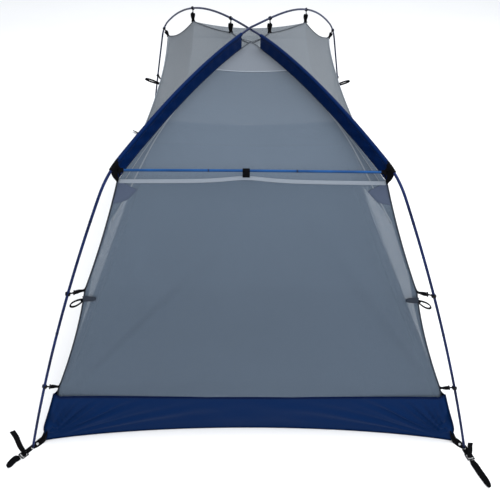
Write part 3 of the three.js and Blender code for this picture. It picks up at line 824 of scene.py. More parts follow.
def door_outline(margin):
    """The D-shaped door in the side wall's u, v, counted from the lower rear corner."""
    wide, tall = margin / 2.0, margin / 0.69
    front, hinge = DOOR["front"] - wide, DOOR["hinge"] + wide
    low, high = DOOR["low"] - tall, DOOR["high"] + tall
    au, av = DOOR["arc_u"], DOOR["arc_v"]
    arc_x, arc_y = DOOR["front"] + au, DOOR["high"] - av
    arc = [(arc_x - math.cos(a) * (au + wide), arc_y + math.sin(a) * (av + tall))
           for a in np.linspace(0, math.pi / 2, 40)]
    bottom = [(hinge + (front - hinge) * t, low) for t in np.linspace(0, 1, 60)[:-1]]
    front_edge = [(front, low + (arc[0][1] - low) * t) for t in np.linspace(0, 1, 24)[:-1]]
    top = [(arc[-1][0] + (hinge - arc[-1][0]) * t, high) for t in np.linspace(0, 1, 40)[1:]]
    rear_edge = [(hinge, high + (low - high) * t) for t in np.linspace(0, 1, 30)[1:-1]]
    return np.array(bottom + front_edge + arc + top + rear_edge)


DOOR_MIDDLE = np.array([0.40, 0.50])


def outward_square(point, centre):
    """Where the ray from the centre through a point leaves the unit square."""
    d = point - centre
    reach = []
    for k in (0, 1):
        if abs(d[k]) > 1e-9:
            wall = 1 if d[k] > 0 else 0
            reach.append((wall - centre[k]) / d[k])
    return centre + d * min(reach)


def ring_sheet(name, side, rings, material, capped=False):
    """Cloth made of rings of u, v points on the side wall. A capped one is closed over its last ring."""
    rings = np.asarray(rings)
    points = np.array([[side_point(side, u, v) for u, v in ring] for ring in rings])
    uv = (rings * np.array([2.0, 0.69])).reshape(-1, 2)
    count = rings.shape[1]
    faces = grid_faces(len(rings), count, wrap=True)
    if capped:
        faces.append(tuple(range((len(rings) - 1) * count, len(rings) * count)))
    if side > 0:
        faces = flipped(faces)
    return mesh_object(name, points.reshape(-1, 3), faces, material, uv)


def side_surround(side, word):
    outline = door_outline(0.0015)
    outer = np.array([outward_square(p, DOOR_MIDDLE) for p in outline])
    for corner in ((0, 0), (0, 1), (1, 1), (1, 0)):
        nearest = np.argmin(np.linalg.norm(outer - np.array(corner), axis=1))
        outer[nearest] = corner
    rings = [outline + (outer - outline) * t for t in np.linspace(0, 1, 16)]
    obj = ring_sheet(f"side_wall_cloth_{word}", side, rings, SIDE_CLOTH)
    finish_piece(obj, ROOT, "pale_fabric", f"side_wall_{word}")
    declare(obj, *SIDE_CUT, side_share() * (1 - door_share()), ["tub_floor"])


def door_flap(side, word):
    outline = door_outline(-0.0010)
    rings = [DOOR_MIDDLE + (outline - DOOR_MIDDLE) * t for t in np.linspace(1, 0.004, 34)]
    obj = ring_sheet(f"door_cloth_{word}", side, rings, SIDE_CLOTH, capped=True)
    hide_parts(f"door_{word}")
    door_area = SIDE_CUT[0] * SIDE_CUT[1] * side_share() * door_share()
    declare(obj, *DOOR_CUT, door_area / (DOOR_CUT[0] * DOOR_CUT[1]), [f"side_wall_cloth_{word}"])
    hinge = side_point(side, DOOR["hinge"], 0.5)
    stiff = side_point(side, DOOR["hinge"] - 0.035, 0.5)
    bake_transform(obj)


def wall_frame(side, u, v):
    """A point of the side wall, with its outward direction."""
    step = 0.004
    du = side_point(side, u + step, v) - side_point(side, u - step, v)
    dv = side_point(side, u, v + step) - side_point(side, u, v - step)
    out = unit(np.cross(du, dv))
    return side_point(side, u, v), out * math.copysign(1, out[0] * side)


def strip(name, side, shares, inner, outer, material, lift, body, slot):
    """A flat tape on the side wall between two offsets from the door outline."""
    a, b = door_outline(inner)[shares], door_outline(outer)[shares]
    rows = []
    for edge in (a, (a + b) / 2, b):
        line = [wall_frame(side, u, v) for u, v in edge]
        rows.append([p + out * lift for p, out in line])
    obj = sheet_object(name, rows, material)
    return finish_piece(obj, body, slot)


def zip_line(side, word):
    """The door's zip: a tape and a coil on the wall, a facing tape on the flap."""
    outline = door_outline(0.0)
    hinge_at = [k for k, (u, _) in enumerate(outline) if u > DOOR["hinge"] - 0.001]
    zipped = np.arange(0, min(k for k in hinge_at if k > 5) + 1)
    strip(f"zip_tape_wall_{word}", side, zipped, 0.002, 0.014, CANOPY_SOLID, 0.0008, ROOT, "black_webbing")
    flap = f"door_{word}_flap"
    strip(f"zip_tape_door_{word}", side, zipped, -0.002, -0.014, CANOPY_SOLID, 0.0008, flap, "black_webbing")
    coil = Pieces()
    line, ups = [], []
    for u, v in door_outline(0.0025)[zipped]:
        p, out = wall_frame(side, u, v)
        line.append(p + out * 0.0016)
        ups.append(out)
    line, ups = np.array(line), np.array(ups)
    coil.sweep(line, strap_section(0.0034, 0.0018), ups)
    stitches(coil, line, ups, pitch=0.0100, dash=0.0030, lift=0.0009, thick=0.0009)
    finish_piece(coil.make(f"zip_coil_{word}", DARK_METAL), ROOT, "black_plastic")
    hem = [k for k in hinge_at if k >= zipped[-1]] + [0]
    hem = np.array(hem)
    strip(f"door_hinge_seam_{word}", side, hem, 0.001, 0.013, GREY_BINDING, 0.0008, ROOT, "black_webbing")


def side_roof(side, word, rows=81, cols=97):
    grid = np.zeros((rows, cols, 3))
    for i, t in enumerate(np.linspace(0, 1, rows)):
        s = 1 - t
        front, rear = roof_seam(FRONT, side, s), roof_seam(REAR, side, s)
        for j, u in enumerate(np.linspace(0, 1, cols)):
            p = front + (rear - front) * u
            arch = 4 * u * (1 - u)
            p[2] -= arch * (0.014 * (1 - t) ** 2 + 0.055 * s * (1 - s) * 1.6)
            p[0] -= side * eave_sag(u) * s * s
            grid[i, j] = p
    if side < 0:
        grid = grid[:, ::-1]
    obj = sheet_object(f"side_roof_cloth_{word}", grid, CANOPY_MESH)
    finish_piece(obj, ROOT, "pale_fabric", f"side_roof_{word}")
    declare(obj, 1.76, 0.50, TRIANGLE, BOTH_POLES)


def add_side(side, word):
    side_surround(side, word)
    door_flap(side, word)
    side_roof(side, word)
    zip_line(side, word)


# ---- bathtub floor -------------------------------------------------------------------------
def tub_arch(t):
    return (4 * t * (1 - t)) ** 0.85


def tub_mix(key, share):
    """The base's size at share 0, the rim's at share 1."""
    return [base + (rim - base) * share for base, rim in zip(TUB_BASE[key], TUB_RIM[key])]


def tub_edge(share):
    """The tub's outline at a share of its height: front, right, rear and left edges in turn."""
    (fx, fy), (rx, ry), bow = (tub_mix(key, share) for key in ("front", "rear", "bow"))
    ts = np.linspace(0, 1, TUB_COUNT + 1)[:-1]
    edge = [(-fx + 2 * fx * t, fy + bow[0] * tub_arch(t)) for t in ts]
    edge += [(fx + (rx - fx) * t - bow[2] * tub_arch(t), fy + (ry - fy) * t) for t in ts]
    edge += [(rx - 2 * rx * t, ry - bow[1] * tub_arch(t)) for t in ts]
    edge += [(-rx + (rx - fx) * t + bow[2] * tub_arch(t), ry + (fy - ry) * t) for t in ts]
    return np.array(edge)


def tub_height(k):
    """The rim is higher at the corners, where the poles pull it up into a small tip."""
    t = (k % TUB_COUNT) / TUB_COUNT
    tip = 0.018 * max(0.0, 1 - min(t, 1 - t) / 0.010)
    return TUB_TOP + 0.022 - 0.025 * (4 * t * (1 - t)) ** 1.3 + tip


def tub_wrinkle(k, share):
    """Pull folds fanning out of each floor corner across the wall."""
    t = (k % TUB_COUNT) / TUB_COUNT
    near = min(t, 1 - t)
    turn = math.atan2(share * 0.17 + 0.012, near * 1.4 + 0.004)
    fan = math.sin(34 * turn) * 0.6 + math.sin(55 * turn + 1.3) * 0.4
    soft = 0.0010 * math.sin(t * 41 + 5 * share) + 0.0016 * math.sin(t * 17 - 3 * share)
    swell = math.sin(math.pi * share)
    fold_height, fade = 0.0105, 5.0
    return fold_height * fan * math.exp(-near * fade) * swell ** 0.7 + soft * swell


def add_tub():
    levels = np.linspace(0, 1, 33)
    rings = []
    for share in levels:
        edge = tub_edge(share)
        ring = []
        for k, p in enumerate(edge):
            along = unit(edge[(k + 1) % len(edge)] - edge[k - 1])
            out = np.array([along[1], -along[0]])
            push = tub_wrinkle(k, share) * math.sin(math.pi * share) ** 0.5
            belly = 0.004 * math.sin(math.pi * share)
            height = 0.0006 + share * (tub_height(k) - 0.0006)
            ring.append((*(p + out * (push + belly)), height))
        rings.append(ring)
    rings = np.array(rings)
    n = rings.shape[1]
    faces = grid_faces(len(levels), n, wrap=True)
    points = rings.reshape(-1, 3)
    uv = np.array([(k / n * 7.2, s * 0.16) for s in levels for k in range(n)])
    walls = mesh_object("tub_walls", points, faces, TUB_CLOTH, uv)
    thicken(walls, 0.0005)
    finish_piece(walls, ROOT, "tub_fabric", "tub_floor")
    add_tub_floor(rings[0])
    add_tub_bindings(rings)


def thicken(obj, thickness):
    solid = obj.modifiers.new("cloth_thickness", "SOLIDIFY")
    solid.thickness = thickness
    solid.offset = 0


def add_tub_floor(edge):
    """The groundsheet, shrunk in rings from the walls' foot to the middle, with soft dimples."""
    steps = np.linspace(1, 0.01, 40)
    rings = []
    for t in steps:
        ring = []
        for x, y, _ in edge:
            px, py = x * t, y * t
            lift = 0.0012 + 0.0016 * (1 + math.sin(7 * px + 3 * math.sin(4 * py))) * (1 - t ** 8)
            ring.append((px, py, lift))
        rings.append(ring)
    rings = np.array(rings)
    count = rings.shape[1]
    faces = flipped(grid_faces(len(steps), count, wrap=True))
    faces.append(tuple(reversed(range((len(steps) - 1) * count, len(steps) * count))))
    points = rings.reshape(-1, 3)
    floor = mesh_object("tub_floor_cloth", points, faces, TUB_CLOTH, points[:, :2])
    finish_piece(floor, ROOT, "tub_fabric")
    declare(floor, 1.41, 2.29, tapered(TUB_BASE["rear"][0], TUB_BASE["front"][0]), ["ground"])


def add_tub_bindings(rings):
    """The taped seam round the rim, the floor seam and the four upright corner seams."""
    trim = Pieces()
    out = []
    rim = rings[-1]
    for k in range(len(rim)):
        along = unit(rim[(k + 1) % len(rim)] - rim[k - 1])
        out.append(np.array([along[1], -along[0], 0.25]))
    out = np.array([unit(o) for o in out])
    section = strap_section(0.009, 0.0012)
    trim.sweep(rim + out * 0.0004 + np.array([0, 0, -0.0015]), section, out, closed=True)
    low = rings[0] + out * np.array([1, 1, 0]) * 0.001 + np.array([0, 0, 0.0022])
    trim.sweep(low, circle(0.0021, 8), (0, 0, 1), closed=True)
    for k in range(4):
        corner = k * TUB_COUNT
        path = rings[:, corner] + out[corner] * 0.001
        trim.sweep(path, strap_section(0.007, 0.0012), out[corner])
    finish_piece(trim.make("tub_seam_bindings", NAVY_TAPE), ROOT, "tub_fabric")
    thread = Pieces()
    stitches(thread, rim + out * 0.0008 + np.array([0, 0, -0.004]), out, pitch=0.008, dash=0.004)
    finish_piece(thread.make("tub_rim_stitching", NAVY_THREAD), ROOT, "tub_fabric")


# ---- seams and tapes on the canopy ---------------------------------------------------------
def add_corner_seams():
    binding, grey, thread = Pieces(), Pieces(), Pieces()
    for end in (FRONT, REAR):
        for side, _ in SIDES:
            path = np.array([corner_seam(end, side, v) for v in np.linspace(0, 1, 90)])
            out = seam_out(end, side)
            binding.sweep(path + out * 0.001, strap_section(0.007, 0.0016), out)
            stitches(thread, path + out * 0.0018, out, pitch=0.007, dash=0.004)
    for side, _ in SIDES:
        path = np.array([roof_seam(REAR, side, s) for s in np.linspace(0.0, 1, 120)])
        grey.sweep(path + np.array([0, 0, 0.001]), strap_section(0.006, 0.0016), (0, 0, 1))
        stitches(thread, path + np.array([0, 0, 0.0018]), (0, 0, 1), pitch=0.007, dash=0.004)
    finish_piece(binding.make("canopy_seam_bindings", BINDING), ROOT, "black_webbing")
    finish_piece(grey.make("rear_roof_seam_bindings", GREY_BINDING), ROOT, "black_webbing")
    finish_piece(thread.make("canopy_seam_stitching", THREAD), ROOT, "black_webbing")


def add_eave_tapes():
    """Tapes where each side wall meets its roof panel."""
    tape, thread = Pieces(), Pieces()
    for side, _ in SIDES:
        path = np.array([side_point(side, u, 1.0) for u in np.linspace(0.004, 0.996, 80)])
        out = unit((side, 0, 0.7))
        tape.sweep(path + out * 0.0012, strap_section(0.008, 0.0012), out)
        stitches(thread, path + out * 0.002, out, pitch=0.008, dash=0.004)
    finish_piece(tape.make("eave_tapes", TAPE), ROOT, "pale_fabric")
    finish_piece(thread.make("eave_stitching", PALE_THREAD), ROOT, "pale_fabric")


def clip_pull(x):
    """How far the crossbar's clip lifts the canopy's front fold."""
    lift, spread = 0.015, 0.085
    return lift / (1 + ((x - CROSSBAR["clip"]) / spread) ** 2)


def front_tape_line(drop, count=90):
    """Points along the front wall's top, a given length below the fold."""
    grid = []
    v = 1 - drop / 0.73
    left, right = corner_seam(FRONT, -1, v), corner_seam(FRONT, 1, v)
    for u in np.linspace(0.004, 0.996, count):
        p = left + (right - left) * u
        arch = 4 * u * (1 - u)
        p[1] += 0.010 * math.sin(math.pi * v) * arch + TUB_RIM["bow"][0] * (1 - v) * arch
        p[2] += clip_pull(p[0]) * v ** 12
        grid.append(p)
    return np.array(grid)


def add_front_tape():
    """The pale tape under the crossbar, with two stitch lines."""
    out = unit((0, -1, 0.35))
    tape = Pieces()
    tape.sweep(front_tape_line(0.001) + out * 0.0014, strap_section(0.012, 0.0014), out)
    finish_piece(tape.make("front_seam_tape", TAPE), ROOT, "pale_fabric")
    thread = Pieces()
    for drop in (-0.0018, 0.0040):
        stitches(thread, front_tape_line(drop) + out * 0.0021, out, pitch=0.006, dash=0.0038)
    apex = end_roof(FRONT, APEX_SEAM, APEX_SEAM - 0.002, 2)[0]
    stitches(thread, apex + np.array([0, 0, 0.0016]), (0, 0, 1), pitch=0.006, dash=0.0038)
    finish_piece(thread.make("front_tape_stitching", PALE_THREAD), ROOT, "pale_fabric")
    seam = Pieces()
    seam.sweep(apex + np.array([0, 0, 0.0008]), strap_section(0.009, 0.0012), (0, 0, 1))
    finish_piece(seam.make("apex_seam_tape", TAPE), ROOT, "pale_fabric")


def add_corner_tapes():
    """Narrow pale tapes that spread the pull of each upper corner into the front roof and wall."""
    tape = Pieces()
    for side, _ in SIDES:
        for reach, width in ((0.060, 0.0050), (0.026, 0.0034)):
            path = []
            for s in np.linspace(0.60, 1.0, 24):
                u = reach * (s - 0.60) / 0.40
                path.append(roof_point(FRONT, s, u if side < 0 else 1 - u) + np.array([0, 0, 0.0012]))
            tape.sweep(path, strap_section(width, 0.0010), (0, 0, 1))
        low = []
        for t in np.linspace(0.02, 1, 14):
            v, u = 1 - 0.17 * t, 0.060 - 0.045 * t
            left, right = corner_seam(FRONT, -1, v), corner_seam(FRONT, 1, v)
            p = left + (right - left) * (u if side < 0 else 1 - u)
            low.append(p + np.array([0, 0.004 * 4 * u * (1 - u) - 0.0012, 0]))
        tape.sweep(low, strap_section(0.0045, 0.0010), unit((0, -1, 0.35)))
    finish_piece(tape.make("upper_corner_tapes", SOFT_TAPE), ROOT, "pale_fabric")


def add_corner_patches():
    """A doubled layer in each upper corner of the front wall, wide at the top and rounded off below."""
    heights = (0.906, 0.919, 0.929, 0.944, 0.966, 0.985)
    reaches = (0.004, 0.020, 0.038, 0.055, 0.068, 0.078)
    patch = Pieces()
    for side, _ in SIDES:
        path, widths = [], []
        for v in np.linspace(heights[-1], heights[0], 20):
            reach = np.interp(v, heights, reaches)
            left, right = corner_seam(FRONT, -1, v), corner_seam(FRONT, 1, v)
            u = reach / 2 if side < 0 else 1 - reach / 2
            path.append(left + (right - left) * u + np.array([0, -0.0012, 0]))
            widths.append(reach * (right[0] - left[0]))
        patch.sweep(path, np.array([strap_section(w, 0.0010) for w in widths]), unit((0, -1, 0.35)))
    finish_piece(patch.make("upper_corner_patches", CORNER_PATCH), ROOT, "grey_mesh")


def add_peak_cross():
    """Thin seam bindings that cross on the canopy under the peak."""
    tape = Pieces()
    for side, _ in SIDES:
        front = [roof_seam(FRONT, side, s) for s in np.linspace(0.11, 0, 20)]
        rear = [roof_seam(REAR, -side, s) + UP * (0.006 * (1 - s / 0.11))
                for s in np.linspace(0, 0.11, 20)[1:]]
        path = np.array(front + rear) + np.array([0, 0, 0.0022 + 0.0012 * (side > 0)])
        tape.sweep(path, strap_section(0.0045, 0.0011), (0, 0, 1))
    finish_piece(tape.make("peak_cross_tapes", GREY_BINDING), ROOT, "pale_fabric")


# ---- pole sleeves and corner patches -------------------------------------------------------
SLEEVE = dict(start=0.09, stop=0.945, radius=0.0066, depth=0.0505)


def sleeve_section(s):
    """The folded strip round the pole and down to the canopy, with puckers near the elbow."""
    r = SLEEVE["radius"]
    pucker = 0.0030 * ease((s - 0.45) / 0.45)
    waves = 0.0012 + pucker
    arc = [(r * math.cos(a), r * math.sin(a)) for a in np.linspace(math.radians(-72), math.radians(252), 21)]
    depths = np.linspace(-0.010, -SLEEVE["depth"], 12)
    hang = -SLEEVE["depth"] + 0.010
    sway = [waves * math.sin(95 * s - 70 * d) * math.sin(math.pi * (d + 0.010) / hang) for d in depths]
    right = [(0.0010 + w, d) for w, d in zip(sway, depths)]
    left = [(-0.0010 + w, d) for w, d in zip(sway, depths)]
    return np.array(right[::-1] + arc + left)


def add_sleeve(side, word):
    across = unit((side * (PEAK[1] - FRONT["elbow"][1]), FRONT["elbow"][0], 0))
    rings, uv = [], []
    shares = np.linspace(SLEEVE["start"], SLEEVE["stop"], 120)
    for s in shares:
        centre = arm(FRONT, side, s, -side * CROSS_LIFT)
        section = sleeve_section(s)
        rings.append([centre + across * x + np.array([0, 0, y]) for x, y in section])
        run = np.concatenate([[0], np.cumsum(np.linalg.norm(np.diff(section, axis=0), axis=1))])
        uv.extend([(s, r) for r in run])
    rings = np.array(rings)
    faces = grid_faces(*rings.shape[:2])
    if side < 0:
        faces = flipped(faces)
    obj = mesh_object(f"sleeve_cloth_{word}", rings.reshape(-1, 3), faces, SLEEVE_CLOTH, uv)
    finish_piece(obj, ROOT, "sleeve_fabric", f"pole_sleeve_{word}")
    thread, trim = Pieces(), Pieces()
    for depth in (-0.0125, -0.0475):
        for face in (-1, 1):
            off = across * face * 0.0012
            path = np.array([arm(FRONT, side, s) + off + np.array([0, 0, depth]) for s in shares])
            stitches(thread, path, across * face, pitch=0.006, dash=0.0036, lift=0.0001)
    finish_piece(thread.make(f"sleeve_stitching_{word}", NAVY_THREAD), ROOT, "sleeve_fabric")
    for s in (SLEEVE["start"], SLEEVE["stop"]):
        path = [arm(FRONT, side, s) + np.array([0, 0, z]) for z in np.linspace(-0.011, -SLEEVE["depth"], 8)]
        trim.sweep(path, strap_section(0.0042, 0.005), unit((side * 0.43, -0.9, 0)))
    path = [arm(FRONT, side, s) + np.array([0, 0, -SLEEVE["depth"] - 0.001]) for s in shares]
    trim.sweep(path, strap_section(0.0036, 0.004), (0, 0, 1))
    finish_piece(trim.make(f"sleeve_binding_{word}", NAVY_TAPE), ROOT, "sleeve_fabric")


def add_hub_patch(side, word):
    """A doubled black patch from the pole's bend to the canopy's corner. It holds the crossbar's end."""
    tip = roof_seam(FRONT, side, 1.0) + np.array([side * 0.001, -0.004, 0.0])
    bar_end = np.array([side * (CROSSBAR["half"] - 0.016), CROSSBAR["y"] - 0.003, CROSSBAR["z"]])
    top = np.array([elbow(FRONT, side, t) for t in np.linspace(0.66, 0.98, 13)])
    rows = []
    for t in np.linspace(0, 1, 15):
        lean = 4 * t * (1 - t)
        row = []
        for k, p in enumerate(top):
            u = k / (len(top) - 1)
            goal = tip + (bar_end - tip) * max(0.0, 1 - t) * u * 0.9
            q = p + (goal - p) * t
            ripple = -0.001 * math.sin(9 * u) * t
            row.append(q + np.array([side * 0.003 * lean, -0.004 * lean, ripple]))
        rows.append(row)
    rows = np.array(rows)
    rows[-1] = tip + (rows[0] - rows[0].mean(0)) * 0.04
    obj = sheet_object(f"hub_patch_cloth_{word}", rows, WEB)
    thicken(obj, 0.0022)
    finish_piece(obj, ROOT, "black_webbing", f"hub_patch_{word}")
    declare(obj, 0.041, 0.065, TRIANGLE, [f"long_pole_from_front_{word}"])
    cuff = Pieces()
    cuff.sweep(top, circle(POLE_R + 0.0022, 18), steady_up(top))
    pocket_end = np.array([side * (CROSSBAR["half"] + 0.004), CROSSBAR["y"], CROSSBAR["z"]])
    pocket = [pocket_end - np.array([side * d, 0, 0]) for d in (0.0, 0.006, 0.012, 0.016)]
    section = np.array([circle(CROSSBAR["r"] + g, 18) for g in (0.0028, 0.0026, 0.0022, 0.0014)])
    cuff.sweep(pocket, section, (0, 0, 1))
    gusset = np.array([pocket_end + (top[6] - pocket_end) * t for t in np.linspace(0, 1, 7)])
    cuff.sweep(gusset, strap_section(0.020, 0.0030), (0, -1, 0.4))
    hold = np.array([pocket_end + (tip - pocket_end) * t for t in np.linspace(-0.1, 1, 8)])
    widths = np.linspace(0.022, 0.006, 8)
    cuff.sweep(hold, np.array([strap_section(w, 0.0028) for w in widths]), (0, -1, 0.4))
    finish_piece(cuff.make(f"hub_cuff_{word}", WEB), ROOT, "black_webbing")


# ---- clips and guy-out loops ---------------------------------------------------------------
def clip_frame(centre, along, target):
    x = unit(np.asarray(target) - centre)
    z = unit(np.asarray(along) - x * np.dot(along, x))
    return x, np.cross(z, x), z, float(np.linalg.norm(np.asarray(target) - centre))


def add_clip(name, centre, along, target, node, wide=0.013, flare=0.030, face=None, tab_wide=0.013):
    """A snap hook round the pole, a ribbed stem, and a sewn webbing tab that widens to the seam."""
    x, y, z, reach = clip_frame(centre, along, target)

    def place(px, py, pz=0.0):
        return centre + x * px + y * py + z * pz

    hook = Pieces()
    inner, outer = POLE_R + 0.0006, POLE_R + 0.0034
    middle, thick = (inner + outer) / 2, outer - inner
    angles = np.linspace(math.radians(-112), math.radians(205), 30)
    arc = [place(middle * math.cos(a), middle * math.sin(a)) for a in angles]
    shares = np.interp(range(30), [0, 5, 25, 29], [0.55, 0.9, 0.9, 0.5])
    swell = np.array([strap_section(wide * w, thick) for w in shares])
    rays = np.array([unit(p - centre) for p in arc])
    hook.sweep(arc, swell, rays)
    stem_end = max(outer + 0.008, reach * 0.36)
    stem = [place(t, 0) for t in np.linspace(outer - 0.001, stem_end, 8)]
    widths = np.interp(range(8), [0, 2, 6, 7], [0.8, 0.42, 0.55, 1.0])
    hook.sweep(stem, np.array([strap_section(wide * w, 0.0034) for w in widths]), y)
    bar = [place(stem_end, 0, d) for d in np.linspace(-wide * 0.62, wide * 0.62, 6)]
    hook.sweep(bar, circle(0.0024, 12), x)
    finish_piece(hook.make(f"{name}_hook", PLASTIC), ROOT, "black_plastic", node)
    tab = Pieces()
    count = 10
    path = [place(stem_end + (reach - stem_end + 0.001) * t, 0.0016 * math.sin(math.pi * t))
            for t in np.linspace(0, 1, count)]
    shape = (1.05, 1.15, 1.2, 1.15, 1.05, 0.92, 0.80, 0.74, 0.9, flare / wide)
    widths = tab_wide * np.array(shape)
    up = y if face is None else unit(face - x * np.dot(face, x))
    tab.sweep(path, np.array([strap_section(w, 0.0026) for w in widths]), up)
    across = np.cross(x, up)
    stitch_path = [place(reach - 0.006, 0) + up * 0.0016 + across * d
                   for d in np.linspace(-flare * 0.3, flare * 0.3, 8)]
    stitches(tab, stitch_path, up, pitch=0.004, dash=0.0028, slot=1)
    finish_piece(tab.make(f"{name}_tab", [WEB, THREAD]), ROOT, "black_webbing")


def leg_clip(end, name, side, word, i):
    z = end["clips"][i]
    centre = leg_at(end, side, z)
    along = leg_at(end, side, z + 0.01) - centre
    target = corner_seam(end, side, corner_share(end, z - CLIP_PULL))
    node = f"{name}_leg_clip_{('lower', 'upper')[i]}_{word}"
    add_clip(f"{node}_made", centre, along, target, node)


def arm_clip(side, word, i):
    s = ARM_CLIPS[i]
    centre = arm(REAR, side, s, side * CROSS_LIFT)
    along = arm(REAR, side, s + 0.01) - arm(REAR, side, s)
    node = f"rear_arm_clip_{('inner', 'outer')[i]}_{word}"
    add_clip(f"{node}_made", centre, along, roof_seam(REAR, side, s), node,
             flare=0.014, face=np.array([0.0, -1.0, 0.3]), tab_wide=0.0185)


def elbow_clip(side, word):
    node = f"rear_elbow_clip_{word}"
    along = elbow(REAR, side, 0.55) - elbow(REAR, side, 0.45)
    add_clip(f"{node}_made", elbow(REAR, side, 0.5), along, roof_seam(REAR, side, 1.0), node,
             flare=0.014, face=np.array([0.0, -1.0, 0.3]), tab_wide=0.0165)


def add_crossbar_clip():
    """A square black webbing holder folded over the crossbar and sewn to the canopy's front seam."""
    x, y, z = CROSSBAR["clip"], CROSSBAR["y"], CROSSBAR["z"] + 0.0015
    fold = front_tape_line(0.0, 91)[43]
    holder, r = Pieces(), CROSSBAR["r"] + 0.0018
    over = [np.array([x, y + r * math.cos(a), z + r * math.sin(a)]) for a in np.linspace(-0.3, math.pi, 12)]
    front = [np.array([x, over[-1][1] - 0.0006, z - d]) for d in (0.004, 0.009)]
    low = [np.array([x, fold[1] - 0.0045, fold[2] + d]) for d in (0.009, 0.003)]
    path = smooth_path(np.vstack([over, front, low]), 44)
    ups = [unit(np.cross((1, 0, 0), t)) for t in np.gradient(path, axis=0)]
    holder.sweep(path, strap_section(0.022, 0.0020), ups)
    for d in (-0.0075, 0.0075):
        stitches(holder, path[22:] + np.array([d, 0, 0]), np.array(ups[22:]), pitch=0.004, dash=0.0026,
                 lift=0.001, slot=1)
    finish_piece(holder.make("crossbar_clip_holder", [WEB, THREAD]), ROOT, "black_webbing", "crossbar_clip")


def add_guy_loop(end, name, side, word):
    """A webbing loop sewn into the corner seam below the upper clip, on a bartacked patch."""
    z = end["clips"][1] - 0.044
    root = straight_corner(end, side, corner_share(end, z))
    seam = corner_seam(end, side, corner_share(end, z))
    along = unit(straight_corner(end, side, 1.0) - straight_corner(end, side, 0.0))
    out = unit((side, end["sign"] * 0.25, -0.45 if end is FRONT else 0.25))
    start = root + out * 0.008
    across = unit(np.cross(out, along))
    rise = unit(np.cross(across, out))
    width, length, height = 0.0120, GUY[name], 0.0185
    path = []
    for a in np.linspace(math.pi * 0.05, 2 * math.pi - math.pi * 0.05, 44):
        reach = length / 2 * (1 - math.cos(a))
        belly = height / 2 * math.sin(a) * (0.60 + 0.40 * (1 - math.cos(a)) / 2)
        path.append(start + out * (reach - 0.002) + rise * belly)
    loop = Pieces()
    ups = [unit(np.cross(across, t)) for t in np.gradient(path, axis=0)]
    loop.sweep(path, strap_section(width, 0.0034), ups)
    stem = [seam + (start + out * 0.006 - seam) * t for t in np.linspace(-0.05, 1, 5)]
    loop.sweep(stem, strap_section(0.0100, 0.0040), across)
    body = f"guy_{name}_{word}_body"
    webbing = loop.make(f"{name}_guy_webbing_{word}", WEB)
    finish_piece(webbing, body, "black_webbing", f"{name}_guy_loop_{word}")
    patch = Pieces()
    inward = unit((-side, 0, 0.02)) if end is FRONT else unit((-side, 0, 0.0))
    base = seam + np.array([0, end["sign"] * 0.0022, 0.004])
    forward = np.array([0, end["sign"], 0])
    line = [base + inward * d + forward * 0.0006 for d in np.linspace(-0.002, 0.040, 8)]
    widths = np.interp(range(8), [0, 5, 7], [0.020, 0.017, 0.010])
    patch.sweep(line, np.array([strap_section(w, 0.0012) for w in widths]), (0, end["sign"], 0.3))
    for d in (0.008, 0.016, 0.024):
        row = [base + inward * d + np.array([0, end["sign"] * 0.0014, rise_by])
               for rise_by in np.linspace(-0.006, 0.006, 6)]
        stitches(patch, row, (0, end["sign"], 0), pitch=0.0024, dash=0.0018, slot=1)
    finish_piece(patch.make(f"{name}_guy_patch_{word}", [BINDING, THREAD]), ROOT, "black_webbing")


def add_clips():
    add_crossbar_clip()
    for side, word in SIDES:
        for i in (0, 1):
            leg_clip(FRONT, "front", side, word, i)
            leg_clip(REAR, "rear", side, word, i)
            arm_clip(side, word, i)
        elbow_clip(side, word)
        add_guy_loop(FRONT, "front", side, word)
        add_guy_loop(REAR, "rear", side, word)


# ---- ground corners ------------------------------------------------------------------------
def corner_frame(place):
    end = FRONT if place.startswith("front") else REAR
    side = -1 if place.endswith("left") else 1
    foot = np.array([side * end["foot"][0], end["foot"][1], 0.0])
    tip = np.array([*STAKE_END[place], 0.0])
    out = unit(tip - foot)
    return end, side, foot, out, float(np.linalg.norm(tip - foot))


def pierced_strap(pieces, path, ups, widths, holes, thick, slot=0):
    """A flat strap of two halves that part round each hole: (share of the path, half length, half width)."""
    shares = np.linspace(0, 1, len(path))
    gap = np.full(len(path), -0.0004)
    for centre, half_long, half_wide in holes:
        inside = np.clip(1 - ((shares - centre) / half_long) ** 2, 0, None)
        gap = np.maximum(gap, half_wide * np.sqrt(inside))
    for hand in (-1, 1):
        sections = []
        for w, g in zip(widths, gap):
            outer, inner = w / 2, g
            sections.append(strap_section(outer - inner, thick) + np.array([hand * (outer + inner) / 2, 0]))
        pieces.sweep(path, np.array(sections), ups, slot=slot)


